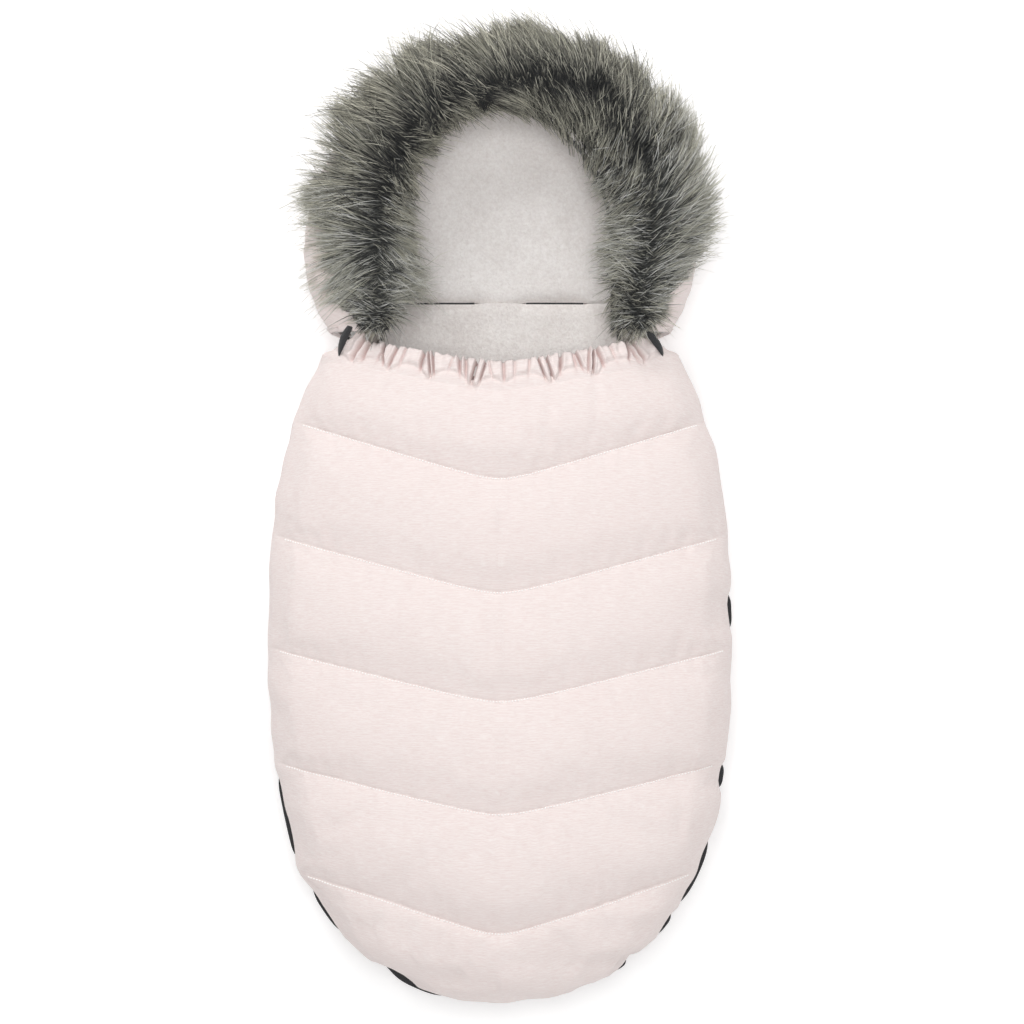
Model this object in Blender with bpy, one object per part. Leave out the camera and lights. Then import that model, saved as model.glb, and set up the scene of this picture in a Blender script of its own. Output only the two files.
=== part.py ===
# Stroller footmuff lying on its back: a padded tray with a zipped, quilted cover and a fur-trimmed hood.
# Metres, +Z up, +Y towards the hood. The origin is on the flat underside of the back.
import math

import bmesh
import bpy
from mathutils import Matrix, Vector

# Driving sizes of the plan: the zip line is one toe arc between two long side arcs
ZIP_HALF_WIDTH = 0.2130
SIDE_RADIUS = 0.7200
WIDEST_Y = -0.1360
TOE_Y = -0.4655
ZIP_TOP_Y = 0.1680
ZIP_Z = 0.0450

# Clearance between touching pieces, the overrun of every cutter and the merging of equal points
GAP = 0.0003
OVERRUN = 0.0040
MERGE_DISTANCE = 0.000003

# Zips
TAPE_THICK = 0.0008
TAPE_DEEP = 0.0120
CHAIN_THICK = 0.0050
CHAIN_DEEP = 0.0020
NECK_GAP = 0.0016
TAPE_SHOWS = 0.0078
TOE_TAB_HALF_WIDTH = 0.0070
TOE_TAB_STATIONS = 4
ZIP_STATIONS = 30

# Sliders and pulls
SLIDER_LONG = 0.0130
SLIDER_TALL = 0.0100
PLATE_OUTLINE_SHARES = (
    (-1.0, -0.62),
    (-0.33, -1.0),
    (0.67, -1.0),
    (1.0, -0.67),
    (1.0, 0.67),
    (0.67, 1.0),
    (-0.33, 1.0),
    (-1.0, 0.62),
)
FLANGE_SHARES = (-0.33, 0.67)
PLATE_THICK = 0.0014
PLATE_PLAY = 0.0004
POST_THICK = 0.0009
POST_LONG = 0.0030
FLANGE_TALL = 0.0012
EAR_THICK = 0.0010
EAR_LONG = 0.0034
EAR_OUT = 0.0046
PIN_RADIUS = 0.0006
PIN_PLAY = 0.0003
PIN_SIDES = 8
PULL_THICK = 0.0012
PULL_LONG = 0.0330
PULL_WIDE = 0.0072
PULL_EYE_WIDE = 0.0046
PULL_EYE_SIDES = 12
PULL_HOLE_SIDES = 10
PULL_NECK_SHARE = 0.25
PULL_SHOULDER_SHARE = 0.50
SLIDER_FROM_TOP = 0.0150
STOP_LONG = 0.0030
STOP_THICK = 0.0068

# Quilted cover
COVER_BULGE = 0.0115
COVER_SWELL_Z = 0.0680
COVER_RISE = 0.0640
DOME_REACH = 0.2150
DOME_POWER = 2.3
QUILT_PUFF = 0.0085
QUILT_FADE = 0.0300
COVER_FABRIC = 0.0012
COVER_WADDING = 0.0034
COVER_LINING = 0.0020
COVER_LIP_OUTSET = 0.0036
COVER_HEM_Y = 0.1450
COVER_HEM_DIP = 0.0250
COVER_COLUMNS = 14
SEAM_END_YS = (0.0790, -0.0270, -0.1330, -0.2420, -0.3420)
SEAM_DIPS = (0.0490, 0.0520, 0.0500, 0.0490, 0.0640)
SEAM_TIP_ROUND_SHARE = 0.10
CHANNEL_SHARES = (0.0, 0.13, 0.5, 0.87)
CHANNEL_PUFF_SHARES = (0.0, 0.62, 1.0, 0.62)
TOE_ROW_SHARES = (0.0, 0.12, 0.36, 0.60, 0.79, 0.92, 0.98, 1.0)
TOE_PUFF_SHARES = (0.0, 0.60, 1.0, 0.90, 0.70, 0.40, 0.15, 0.0)
TOE_ROW_HALF_RUN = 0.0300
LINING_SKIP_COUNT = 2

# Gathered hem of the cover and the elastic inside it
HEM_DEEP = 0.0200
HEM_LEAF = 0.0013
HEM_FOLDS = 19
HEM_STATIONS_PER_FOLD = 3
HEM_WAVE = 0.0030
HEM_RAISE = 0.0035
HEM_SPREAD = 1.35
ELASTIC_THICK = 0.0012
ELASTIC_WIDE = 0.0100
ELASTIC_STATIONS = 24

# Back tray
BASE_THICK = 0.0016
BASE_INSET = 0.0210
BACK_WADDING = 0.0120
BACK_LINING = 0.0020
WALL_FABRIC = 0.0012
WALL_WADDING = 0.0080
WALL_LINING = 0.0018
WALL_BULGE = 0.0036
WALL_PROFILE_SHARES = ((0.0, 0.0), (0.12, 0.62), (0.42, 0.96), (0.75, 1.0), (1.0, 0.97))
NECK_HALF_WIDTH = 0.1400
NECK_SEAM_Y = 0.2040
NECK_SEAM_GAP = 0.0010
WALL_SIDE_STATIONS = 13
WALL_TOE_STATIONS = 14

# Harness slots
SHOULDER_SLOT_WIDE = 0.0570
SHOULDER_SLOT_TALL = 0.0064
SHOULDER_SLOT_X = 0.0540
CROTCH_SLOT_WIDE = 0.0520
CROTCH_SLOT_TALL = 0.0100
CROTCH_SLOT_Y = -0.0700
BINDING_WALL = 0.0016
BINDING_FLANGE = 0.0050
BINDING_STEPS = 5

# Hood: rays leave the middle line, level at the cheeks and fanned over the crown
HOOD_RADIUS = 0.1920
HOOD_CENTRE_Y = 0.2500
CHEEK_OUTSET = 0.0195
CHEEK_END_Y = 0.1710
RIM_HALF_WIDTH = 0.1200
RIM_CROWN_REACH = 0.1480
HOOD_FABRIC = 0.0012
HOOD_WADDING = 0.0072
HOOD_LINING = 0.0018
HOOD_PANEL_UNDERLAP = 0.0060
HOOD_FLOOR_INSET = 0.0094
HOOD_TOP_Z = 0.1120
HOOD_CHEEK_STEPS = 5
HOOD_CROWN_STEPS = 18
HOOD_PROFILE_SHARES = (
    (0.70, 0.020),
    (0.91, 0.13),
    (1.00, 0.40),
    (0.96, 0.69),
    (0.80, 0.90),
    (0.50, 1.00),
    (0.22, 1.00),
    (0.00, 0.95),
)

# Hood rim channel and its draw cord
CHANNEL_RADIUS = 0.0056
CHANNEL_WALL = 0.0012
CHANNEL_MOUTH_DEG = 80.0
CHANNEL_STEPS = 5
CORD_RADIUS = 0.0024
CORD_SIDES = 6
CORD_TAIL = 0.0090

# Fur trim
BAND_THICK = 0.0016
BAND_PLACES = slice(4, 7)
PILE_INWARD = 0.0360
PILE_OUTWARD = 0.0170
PILE_CROWN_OUTWARD = 0.0320
PILE_CREST_Z = 0.1500
PILE_TIP_Z = 0.1240
PILE_HEM_Z = 0.0560
PILE_CREST_SHARE = 0.10
PILE_BELLY_SHARE = 0.80
PILE_HEM_SHARE = 0.70

# Hinge lines of the moving bodies: the cover folds at the toe and the hood at the neck seam
TOE_HINGE_OUTSET = 0.0120

# Values that follow from the driving sizes
SIDE_CENTRE_X = ZIP_HALF_WIDTH - SIDE_RADIUS
SIDE_DROP = WIDEST_Y - TOE_Y
FOOT_RADIUS = (SIDE_RADIUS**2 - SIDE_CENTRE_X**2 - SIDE_DROP**2) / (2 * (SIDE_RADIUS - SIDE_DROP))
FOOT_CENTRE_Y = TOE_Y + FOOT_RADIUS
JOIN_ANGLE = math.atan2(WIDEST_Y - FOOT_CENTRE_Y, -SIDE_CENTRE_X)
TOP_ANGLE = math.asin((ZIP_TOP_Y - WIDEST_Y) / SIDE_RADIUS)
FOOT_RUN = FOOT_RADIUS * (math.pi / 2 - JOIN_ANGLE)
ZIP_RUN = FOOT_RUN + SIDE_RADIUS * (JOIN_ANGLE + TOP_ANGLE)
ZIP_TOP_X = SIDE_CENTRE_X + SIDE_RADIUS * math.cos(TOP_ANGLE)
CHEEK_DRAW = HOOD_RADIUS - ZIP_TOP_X - CHEEK_OUTSET
CHEEK_SPAN = HOOD_CENTRE_Y - CHEEK_END_Y
CHEEK_RADIUS = (CHEEK_SPAN**2 + CHEEK_DRAW**2) / (2 * CHEEK_DRAW)
CHAIN_GAP_HALF = NECK_GAP / 2
COVER_LIP_Z = ZIP_Z + TAPE_SHOWS
COVER_INNER_LIP_Z = ZIP_Z + CHAIN_GAP_HALF + CHAIN_DEEP + TAPE_DEEP + GAP
BACK_LIP_Z = ZIP_Z - TAPE_SHOWS
BACK_INNER_LIP_Z = ZIP_Z - CHAIN_GAP_HALF - CHAIN_DEEP - TAPE_DEEP - GAP
BACK_WADDING_Z = BASE_THICK + GAP
BACK_PADDING_TOP_Z = BACK_WADDING_Z + BACK_WADDING
BACK_LINING_Z = BACK_PADDING_TOP_Z + GAP
BACK_TOP_Z = BACK_LINING_Z + BACK_LINING
PIN_OUTSET = CHAIN_THICK / 2 + PLATE_PLAY + PLATE_THICK + EAR_OUT - EAR_LONG / 2

PALETTE = {
    "pink_melange": ((0.87, 0.79, 0.77), 0.85, 0.0),
    "grey_plush": ((0.68, 0.66, 0.65), 0.95, 0.0),
    "white_wadding": ((0.90, 0.90, 0.88), 0.95, 0.0),
    "black_tape": ((0.02, 0.02, 0.022), 0.80, 0.0),
    "black_enamel": ((0.03, 0.03, 0.03), 0.35, 0.6),
    "white_elastic": ((0.85, 0.85, 0.83), 0.80, 0.0),
    "grey_cord": ((0.22, 0.21, 0.20), 0.85, 0.0),
    "fur": ((0.24, 0.23, 0.21), 0.90, 0.0),
    "fur_backing": ((0.12, 0.12, 0.12), 0.90, 0.0),
    "non_slip": ((0.10, 0.10, 0.105), 0.75, 0.0),
}


def clear_scene():
    for thing in list(bpy.data.objects):
        bpy.data.objects.remove(thing, do_unlink=True)


def hang_on(name, spot, pieces):
    """An empty on a hinge line that carries the pieces of one moving body, each left where it is."""
    hinge = bpy.data.objects.new(name, None)
    hinge.location = spot
    bpy.context.collection.objects.link(hinge)
    for piece in pieces:
        piece.parent = hinge
        piece.matrix_parent_inverse = Matrix.Translation(-spot)


def material(name):
    found = bpy.data.materials.get(name)
    if found:
        return found
    made = bpy.data.materials.new(name)
    made.use_nodes = True
    colour, rough, metal = PALETTE[name]
    shader = made.node_tree.nodes["Principled BSDF"]
    shader.inputs["Base Color"].default_value = (*colour, 1.0)
    shader.inputs["Roughness"].default_value = rough
    shader.inputs["Metallic"].default_value = metal
    return made


def make_object(name, points, faces, paint, sharp_deg=None):
    mesh = bpy.data.meshes.new(name)
    mesh.from_pydata([tuple(p) for p in points], [], faces)
    shape = bmesh.new()
    shape.from_mesh(mesh)
    bmesh.ops.remove_doubles(shape, verts=shape.verts, dist=MERGE_DISTANCE)
    bmesh.ops.recalc_face_normals(shape, faces=shape.faces)
    shape.to_mesh(mesh)
    shape.free()
    if sharp_deg is not None:
        mesh.shade_smooth()
        mesh.set_sharp_from_angle(angle=math.radians(sharp_deg))
    mesh.materials.append(material(paint))
    thing = bpy.data.objects.new(name, mesh)
    bpy.context.collection.objects.link(thing)
    return thing


# Points and distances on the zip line


def on_line(run, outset, z):
    """A point at a signed run from the toe along the zip line, moved outwards by outset."""
    side = 1 if run >= 0 else -1
    along = abs(run)
    if along < FOOT_RUN:
        turn = along / FOOT_RADIUS - math.pi / 2
        centre_x, centre_y, radius = 0, FOOT_CENTRE_Y, FOOT_RADIUS
    else:
        turn = (along - FOOT_RUN) / SIDE_RADIUS - JOIN_ANGLE
        centre_x, centre_y, radius = SIDE_CENTRE_X, WIDEST_Y, SIDE_RADIUS
    x = centre_x + (radius + outset) * math.cos(turn)
    y = centre_y + (radius + outset) * math.sin(turn)
    return Vector((side * x, y, z))


def run_at(y):
    """The run from the toe at which the zip line reaches y."""
    join_y = FOOT_CENTRE_Y - FOOT_RADIUS * math.sin(JOIN_ANGLE)
    if y < join_y:
        return FOOT_RADIUS * (math.asin((y - FOOT_CENTRE_Y) / FOOT_RADIUS) + math.pi / 2)
    return FOOT_RUN + SIDE_RADIUS * (math.asin((y - WIDEST_Y) / SIDE_RADIUS) + JOIN_ANGLE)


def inside_line(x, y):
    """How far inside the zip line a plan point lies, and the outward direction there."""
    side = 1 if x >= 0 else -1
    from_foot = Vector((abs(x), y - FOOT_CENTRE_Y, 0))
    if math.atan2(from_foot.y, from_foot.x) < -JOIN_ANGLE:
        reach, radius = from_foot, FOOT_RADIUS
    else:
        reach, radius = Vector((abs(x) - SIDE_CENTRE_X, y - WIDEST_Y, 0)), SIDE_RADIUS
    outward = reach.normalized()
    return radius - reach.length, Vector((side * outward.x, outward.y, 0))


# Solids made from rows of points


def skin_faces(rows, columns, start, flip):
    """Triangles over a grid of points, mirrored about its middle column."""
    faces = []
    for i in range(rows - 1):
        for j in range(columns - 1):
            a = start + i * columns + j
            b, c, d = a + 1, a + columns + 1, a + columns
            pair = ((a, b, c), (a, c, d)) if 2 * j + 1 < columns else ((a, b, d), (b, c, d))
            faces += [tuple(reversed(f)) if flip else f for f in pair]
    return faces


def loft(name, rings, paint, sharp_deg=40.0, closed=False):
    """A solid through rings of the same number of points, capped at its ends unless closed.

    The far half of each ring runs back along the near half, so its diagonals are turned to match.
    """
    count = len(rings[0])
    points = [p for ring in rings for p in ring]
    faces = []
    spans = len(rings) if closed else len(rings) - 1
    for i in range(spans):
        here, there = i * count, (i + 1) % len(rings) * count
        for j in range(count):
            k = (j + 1) % count
            if j < count // 2:
                faces += [(here + j, here + k, there + k), (here + j, there + k, there + j)]
            else:
                faces += [(here + j, here + k, there + j), (here + k, there + k, there + j)]
    if not closed:
        faces.append(tuple(range(count)))
        faces.append(tuple(range((len(rings) - 1) * count, len(rings) * count)))
    return make_object(name, points, faces, paint, sharp_deg)


def even_runs(start, end, stations):
    return [start + (end - start) * i / stations for i in range(stations + 1)]


def sweep_runs(name, runs, profile, paint):
    """A profile of outset and height pairs carried along the zip line through these runs."""
    rings = [[on_line(run, outset, z) for outset, z in profile] for run in runs]
    return loft(name, rings, paint)


def sweep_line(name, start, end, stations, profile, paint):
    return sweep_runs(name, even_runs(start, end, stations), profile, paint)


def slab(name, outline, low, high, paint):
    """A flat plate with the given plan outline."""
    points = [Vector((x, y, z)) for z in (low, high) for x, y in outline]
    return make_object(name, points, prism_faces(len(outline)), paint)


def prism_faces(count):
    """Faces of a prism whose lower outline comes first and its upper one after it."""
    faces = [tuple(range(count)), tuple(range(count, 2 * count))]
    for j in range(count):
        k = (j + 1) % count
        faces.append((j, k, count + k, count + j))
    return faces


def box_points(low, high):
    return [Vector((x, y, z)) for x in (low[0], high[0]) for y in (low[1], high[1]) for z in (low[2], high[2])]


BOX_FACES = [(0, 1, 3, 2), (4, 6, 7, 5), (0, 4, 5, 1), (2, 3, 7, 6), (0, 2, 6, 4), (1, 5, 7, 3)]


def cutter_box(name, low, high):
    made = make_object(name, box_points(low, high), BOX_FACES, "black_tape")
    hide((made,))
    return made


def combine(target, other, operation):
    step = target.modifiers.new(operation.lower(), "BOOLEAN")
    step.operation = operation
    step.object = other
    step.solver = "EXACT"


# Quilted cover


def dome(x, y):
    """Height and surface normal of the cover's stitched level over a plan point."""
    inside, outward = inside_line(x, y)
    share = min(max((inside + COVER_BULGE) / DOME_REACH, 0), 1)
    left = 1 - share
    if left == 1:
        return COVER_SWELL_Z, outward
    height = (1 - left**DOME_POWER) ** (1 / DOME_POWER)
    slope = left ** (DOME_POWER - 1) * height ** (1 - DOME_POWER) * COVER_RISE / DOME_REACH
    normal = outward * slope + Vector((0, 0, 1))
    return COVER_SWELL_Z + COVER_RISE * height, normal.normalized()


def seam_dip(across):
    """Share of a chevron's depth at a place across the cover: 1 in the middle, 0 at the sides."""
    rounded = math.hypot(across, SEAM_TIP_ROUND_SHARE) - SEAM_TIP_ROUND_SHARE
    full = math.hypot(1, SEAM_TIP_ROUND_SHARE) - SEAM_TIP_ROUND_SHARE
    return 1 - rounded / full


def cover_rows():
    """Rows of the cover from hem to toe: end run, middle y, arc share and puff share."""
    end_ys = (COVER_HEM_Y, *SEAM_END_YS)
    dips = (COVER_HEM_DIP, *SEAM_DIPS)
    rows = []
    for (y0, dip0), (y1, dip1) in zip(zip(end_ys, dips), zip(end_ys[1:], dips[1:])):
        for share, puff in zip(CHANNEL_SHARES, CHANNEL_PUFF_SHARES):
            y = y0 + (y1 - y0) * share
            dip = dip0 + (dip1 - dip0) * share
            rows.append((run_at(y), y - dip, 0, puff))
    last_run = run_at(end_ys[-1])
    last_mid = end_ys[-1] - dips[-1]
    toe_y = TOE_Y - COVER_BULGE
    for share, puff in zip(TOE_ROW_SHARES, TOE_PUFF_SHARES):
        run = last_run + (TOE_ROW_HALF_RUN - last_run) * share
        rows.append((run, last_mid + (toe_y - last_mid) * share, share, puff))
    return rows


def cover_level(row, column, puffed, depth):
    """A point of the cover's grid, puffed up from the stitched level and then sunk by depth."""
    run, middle_y, arc_share, puff = row
    across = math.sin(math.pi / 2 * (2 * column / COVER_COLUMNS - 1))
    end = on_line(run, COVER_BULGE, 0)
    dip = (1 - arc_share) * seam_dip(across) + arc_share * (1 - across**2)
    x, y = end.x * across, end.y - (end.y - middle_y) * dip
    z, normal = dome(x, y)
    inside = max(inside_line(x, y)[0] + COVER_BULGE, 0)
    swell = puffed * QUILT_PUFF * puff * min(inside / QUILT_FADE, 1)
    return Vector((x, y, z)) + normal * (swell - depth)


def cover_edge(row, side, lip_z, depth):
    """The cover's edge below its widest level, at the end of a row."""
    share = (lip_z - COVER_LIP_Z) / (COVER_SWELL_Z - COVER_LIP_Z)
    outset = COVER_LIP_OUTSET + (COVER_BULGE - COVER_LIP_OUTSET) * math.sin(math.pi / 2 * share)
    return on_line(side * row[0], outset - depth, lip_z)


def cover_surface(rows, puffed, depth, lip_zs):
    """Grid rows of one face of a cover layer, then the loops of its edge from grid to lip."""
    grid = [[cover_level(row, j, puffed, depth) for j in range(COVER_COLUMNS + 1)] for row in rows]
    toe = rows[-1]
    border_runs = [-row[0] for row in rows]
    for j in range(1, COVER_COLUMNS):
        across = math.sin(math.pi / 2 * (2 * j / COVER_COLUMNS - 1))
        border_runs.append(toe[0] * across)
    border_runs += [row[0] for row in reversed(rows)]
    loops = []
    for lip_z in lip_zs:
        loops.append([cover_edge((abs(run),), math.copysign(1, run), lip_z, depth) for run in border_runs])
    return grid, loops


def cover_layer(name, rows, puffs, depths, lip_zs, paint):
    """A closed layer of the cover between two faces, with its hem and lip edges closed."""
    points, faces, ends = [], [], []
    columns = COVER_COLUMNS + 1
    for flip, puffed, depth in zip((False, True), puffs, depths):
        grid, loops = cover_surface(rows, puffed, depth, lip_zs)
        start = len(points)
        points += [p for row in grid for p in row]
        faces += skin_faces(len(rows), columns, start, flip)
        border = [start + i * columns for i in range(len(rows))]
        border += [start + (len(rows) - 1) * columns + j for j in range(1, COVER_COLUMNS)]
        border += [start + (i + 1) * columns - 1 for i in reversed(range(len(rows)))]
        left, right = [border[0]], [border[-1]]
        for loop in loops:
            lower = list(range(len(points), len(points) + len(loop)))
            points += loop
            for a, b, c, d in zip(border, border[1:], lower[1:], lower):
                faces += [(a, b, d), (b, c, d)]
            border = lower
            left.append(border[0])
            right.append(border[-1])
        head = list(reversed(left)) + list(range(start + 1, start + COVER_COLUMNS)) + right
        ends.append((border, head))
    for outer, inner in zip(*ends):
        for a, b, c, d in zip(outer, outer[1:], inner[1:], inner):
            faces += [(a, b, c), (a, c, d)]
    return make_object(name, points, faces, paint, 50.0)


def make_cover():
    rows = cover_rows()
    wadding_depth = COVER_FABRIC + GAP
    lining_depth = wadding_depth + COVER_WADDING + GAP
    shell_lips = (COVER_INNER_LIP_Z, COVER_LIP_Z)
    inner_lips = (COVER_INNER_LIP_Z,)
    cover_layer("cover_shell", rows, (1, 1), (0, COVER_FABRIC), shell_lips, "pink_melange")
    wadding_depths = (wadding_depth, wadding_depth + COVER_WADDING)
    cover_layer("cover_padding", rows, (1, 0), wadding_depths, inner_lips, "white_wadding")
    toe_start = len(rows) - len(TOE_ROW_SHARES)
    kept = rows[:toe_start:LINING_SKIP_COUNT] + rows[toe_start:]
    lining_depths = (lining_depth, lining_depth + COVER_LINING)
    cover_layer("cover_lining", kept, (0, 0), lining_depths, inner_lips, "grey_plush")


def hem_place(across, back, lift):
    """A point over the hem line: across from -1 to 1, moved towards the hood by back, raised by lift."""
    end = on_line(run_at(COVER_HEM_Y + back), COVER_BULGE, 0)
    x = end.x * across
    y = end.y - COVER_HEM_DIP * seam_dip(across)
    z, normal = dome(x, y)
    return Vector((x, y, z)) + normal * lift


def hem_across(share):
    """Stations across the hem, closer together where it turns down at the sides."""
    return math.sin(HEM_SPREAD * (2 * share - 1)) / math.sin(HEM_SPREAD)


def make_hem():
    """The hem's outer leaf, gathered into folds, over the flat elastic that draws it in."""
    rings, straps = [], []
    count = HEM_FOLDS * HEM_STATIONS_PER_FOLD
    middle = -(COVER_FABRIC + COVER_WADDING) / 2
    for i in range(count + 1):
        across = hem_across(i / count)
        wave = HEM_WAVE * math.sin(2 * math.pi * i / HEM_STATIONS_PER_FOLD) * (1 - across**4)
        profile = (
            (GAP, middle),
            (GAP, middle + HEM_LEAF),
            (HEM_DEEP / 2, middle + HEM_LEAF + HEM_RAISE + wave / 2),
            (HEM_DEEP + wave, middle + HEM_LEAF + HEM_RAISE + wave),
            (HEM_DEEP + wave, middle + HEM_RAISE + wave),
            (HEM_DEEP / 2, middle + HEM_RAISE + wave / 2),
        )
        rings.append([hem_place(across, back, lift) for back, lift in profile])
    loft("cover_hem_band", rings, "pink_melange", 60.0)
    low, high = middle - GAP - ELASTIC_THICK, middle - GAP
    for i in range(ELASTIC_STATIONS + 1):
        across = hem_across(i / ELASTIC_STATIONS)
        profile = ((GAP, low), (GAP, high), (ELASTIC_WIDE, high), (ELASTIC_WIDE, low))
        straps.append([hem_place(across, back, lift) for back, lift in profile])
    loft("cover_hem_elastic", straps, "white_elastic")


# Zips: each half is a tape with a chain of coil along its free edge


def zip_half(place_word, side_word, side, up):
    """A tape, its chain and its top stop, above the parting plane if up is 1 and below it if up is -1."""
    edge = ZIP_Z + up * CHAIN_GAP_HALF
    back_of_chain = edge + up * CHAIN_DEEP
    start = side * (TOE_TAB_HALF_WIDTH + GAP)
    end = side * ZIP_RUN
    last = side * (ZIP_RUN - STOP_LONG)
    tape = upright(TAPE_THICK, back_of_chain + up * GAP, back_of_chain + up * TAPE_DEEP)
    sweep_line(f"zip_{place_word}_tape_{side_word}", start, end, ZIP_STATIONS, tape, "black_tape")
    chain = upright(CHAIN_THICK, edge, back_of_chain)
    chain_end = last - side * GAP
    sweep_line(f"zip_{place_word}_chain_{side_word}", start, chain_end, ZIP_STATIONS, chain, "black_tape")
    stop = upright(STOP_THICK, edge, back_of_chain)
    sweep_line(f"zip_{place_word}_stop_{side_word}", last, end, 1, stop, "black_enamel")


def upright(thick, low, high):
    """Profile of a strip that stands on the zip line."""
    return ((-thick / 2, low), (-thick / 2, high), (thick / 2, high), (thick / 2, low))


def make_zips():
    for word, side in (("left", -1), ("right", 1)):
        zip_half("back", word, side, -1)
        zip_half("cover", word, side, 1)


# Sliders, placed with x outwards, y along the zip towards the hood and z up


def place(thing, side, run, outset=0):
    spot = on_line(side * run, outset, ZIP_Z)
    outward = inside_line(spot.x, spot.y)[1]
    thing.location = spot
    turn = math.atan2(outward.y, outward.x)
    thing.rotation_euler = (0, 0, turn)


def plate_outline():
    """Outline of a slider's plate along y and z: wide at the mouth, drawn in at the tail."""
    long, tall = SLIDER_LONG / 2, SLIDER_TALL / 2
    return [(long * y, tall * z) for y, z in PLATE_OUTLINE_SHARES]


def plate(name, outline, low, high, side):
    """A plate with an outline in y and z, from x low to x high, its y turned towards the hood."""
    points = [Vector((x, side * y, z)) for x in (low, high) for y, z in outline]
    return make_object(name, points, prism_faces(len(outline)), "black_enamel")


def bar(name, outline, low, high, side):
    """A bar with an outline in x and y, from z low to z high."""
    points = [Vector((x, side * y, z)) for z in (low, high) for x, y in outline]
    return make_object(name, points, prism_faces(len(outline)), "black_enamel")


def hide(pieces):
    for piece in pieces:
        piece.hide_render = True
        piece.display_type = "WIRE"


def rectangle(left, right, low, high):
    return ((left, low), (right, low), (right, high), (left, high))


def circle(centre_x, centre_y, radius, count):
    step = 2 * math.pi / count
    return [(centre_x + radius * math.cos(i * step), centre_y + radius * math.sin(i * step)) for i in range(count)]


def make_slider(word, side, run):
    """A slider: two plates round both chains, joined by a neck, with flanges on the back's tape only."""
    base = f"slider_{word}"
    clear = CHAIN_THICK / 2 + PLATE_PLAY
    outer = clear + PLATE_THICK
    inside_plate = outer - PLATE_THICK / 2
    outline = plate_outline()
    body = plate(base, outline, clear, outer, side)
    parts = [plate(base + "_inner_plate", outline, -outer, -clear, side)]
    front = SLIDER_LONG / 2
    neck = rectangle(front - POST_LONG, front, -POST_THICK / 2, POST_THICK / 2)
    parts.append(plate(base + "_neck", neck, -inside_plate, inside_plate, side))
    low = -SLIDER_TALL / 2
    flange_top = min(low + FLANGE_TALL, -CHAIN_GAP_HALF - CHAIN_DEEP - PLATE_PLAY)
    flange = rectangle(front * FLANGE_SHARES[0], front * FLANGE_SHARES[1], low + GAP, flange_top)
    near_tape = TAPE_THICK / 2 + PLATE_PLAY
    parts.append(plate(base + "_outer_flange", flange, near_tape, inside_plate, side))
    parts.append(plate(base + "_inner_flange", flange, -inside_plate, -near_tape, side))
    ear_low = PULL_EYE_WIDE / 2 + PIN_PLAY
    ear_high = ear_low + EAR_THICK
    pin_x = PIN_OUTSET
    half = EAR_LONG / 2
    ear = ((inside_plate, -half), (pin_x, -half), (outer + EAR_OUT, 0), (pin_x, half), (inside_plate, half))
    parts.append(bar(base + "_lower_ear", ear, -ear_high, -ear_low, side))
    parts.append(bar(base + "_upper_ear", ear, ear_low, ear_high, side))
    pin_half = ear_low + EAR_THICK / 2
    parts.append(bar(base + "_pin", circle(pin_x, 0, PIN_RADIUS, PIN_SIDES), -pin_half, pin_half, side))
    for piece in (body, *parts):
        place(piece, side, run)
    for piece in parts:
        combine(body, piece, "UNION")
    hide(parts)
    path_centre = Vector((side * SIDE_CENTRE_X, WIDEST_Y, ZIP_Z))
    hang_on(f"slider_path_{word}", path_centre, (body,))
    make_pull(word, side, run)


def make_pull(word, side, run):
    """The pull: an eye on the slider's pin and a tab that lies back along the zip, its origin on the pin."""
    hole_radius = PIN_RADIUS + PIN_PLAY
    neck, wide = PULL_EYE_WIDE / 2, PULL_WIDE / 2
    eye = bar(f"pull_{word}", circle(0, 0, hole_radius + PULL_THICK, PULL_EYE_SIDES), -neck, neck, side)
    start = -hole_radius
    end = start - PULL_LONG
    outline = (
        (start, -neck),
        (start - PULL_LONG * PULL_NECK_SHARE, -neck),
        (start - PULL_LONG * PULL_SHOULDER_SHARE, -wide),
        (end + wide, -wide),
        (end, -wide / 2),
        (end, wide / 2),
        (end + wide, wide),
        (start - PULL_LONG * PULL_SHOULDER_SHARE, wide),
        (start - PULL_LONG * PULL_NECK_SHARE, neck),
        (start, neck),
    )
    half = PULL_THICK / 2
    tab = plate(f"pull_tab_{word}", outline, -half, half, side)
    hole = bar(f"pull_hole_{word}", circle(0, 0, hole_radius, PULL_HOLE_SIDES), -wide, wide, side)
    for piece in (eye, tab, hole):
        place(piece, side, run, PIN_OUTSET)
    combine(eye, tab, "UNION")
    combine(eye, hole, "DIFFERENCE")
    hide((tab, hole))


# Back tray


def wall_runs():
    """Runs of the wall's stations: along the left side, round the toe and along the right side."""
    side = even_runs(FOOT_RUN, ZIP_RUN, WALL_SIDE_STATIONS)
    toe = even_runs(-FOOT_RUN, FOOT_RUN, WALL_TOE_STATIONS)
    return [-run for run in reversed(side)], toe, side


def whole_wall_runs():
    left, toe, right = wall_runs()
    return left + toe[1:] + right[1:]


def back_outline(inset, top_y):
    """Plan outline inside the zip line by inset, carried up the neck to top_y."""
    points = [on_line(run, -inset, 0)[:2] for run in whole_wall_runs()]
    return [(-NECK_HALF_WIDTH, top_y), *points, (NECK_HALF_WIDTH, top_y)]


def wall_profile(low_z, high_z, depth, thick):
    """Profile of one layer of the side wall, from its foot on the base to the zip."""
    foot = -BASE_INSET + GAP + WALL_FABRIC
    outer = []
    for rise, reach in WALL_PROFILE_SHARES:
        z = low_z + (high_z - low_z) * rise
        outer.append((foot + (WALL_BULGE - foot) * reach - depth, z))
    return outer + [(x - thick, z) for x, z in reversed(outer)]


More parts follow.
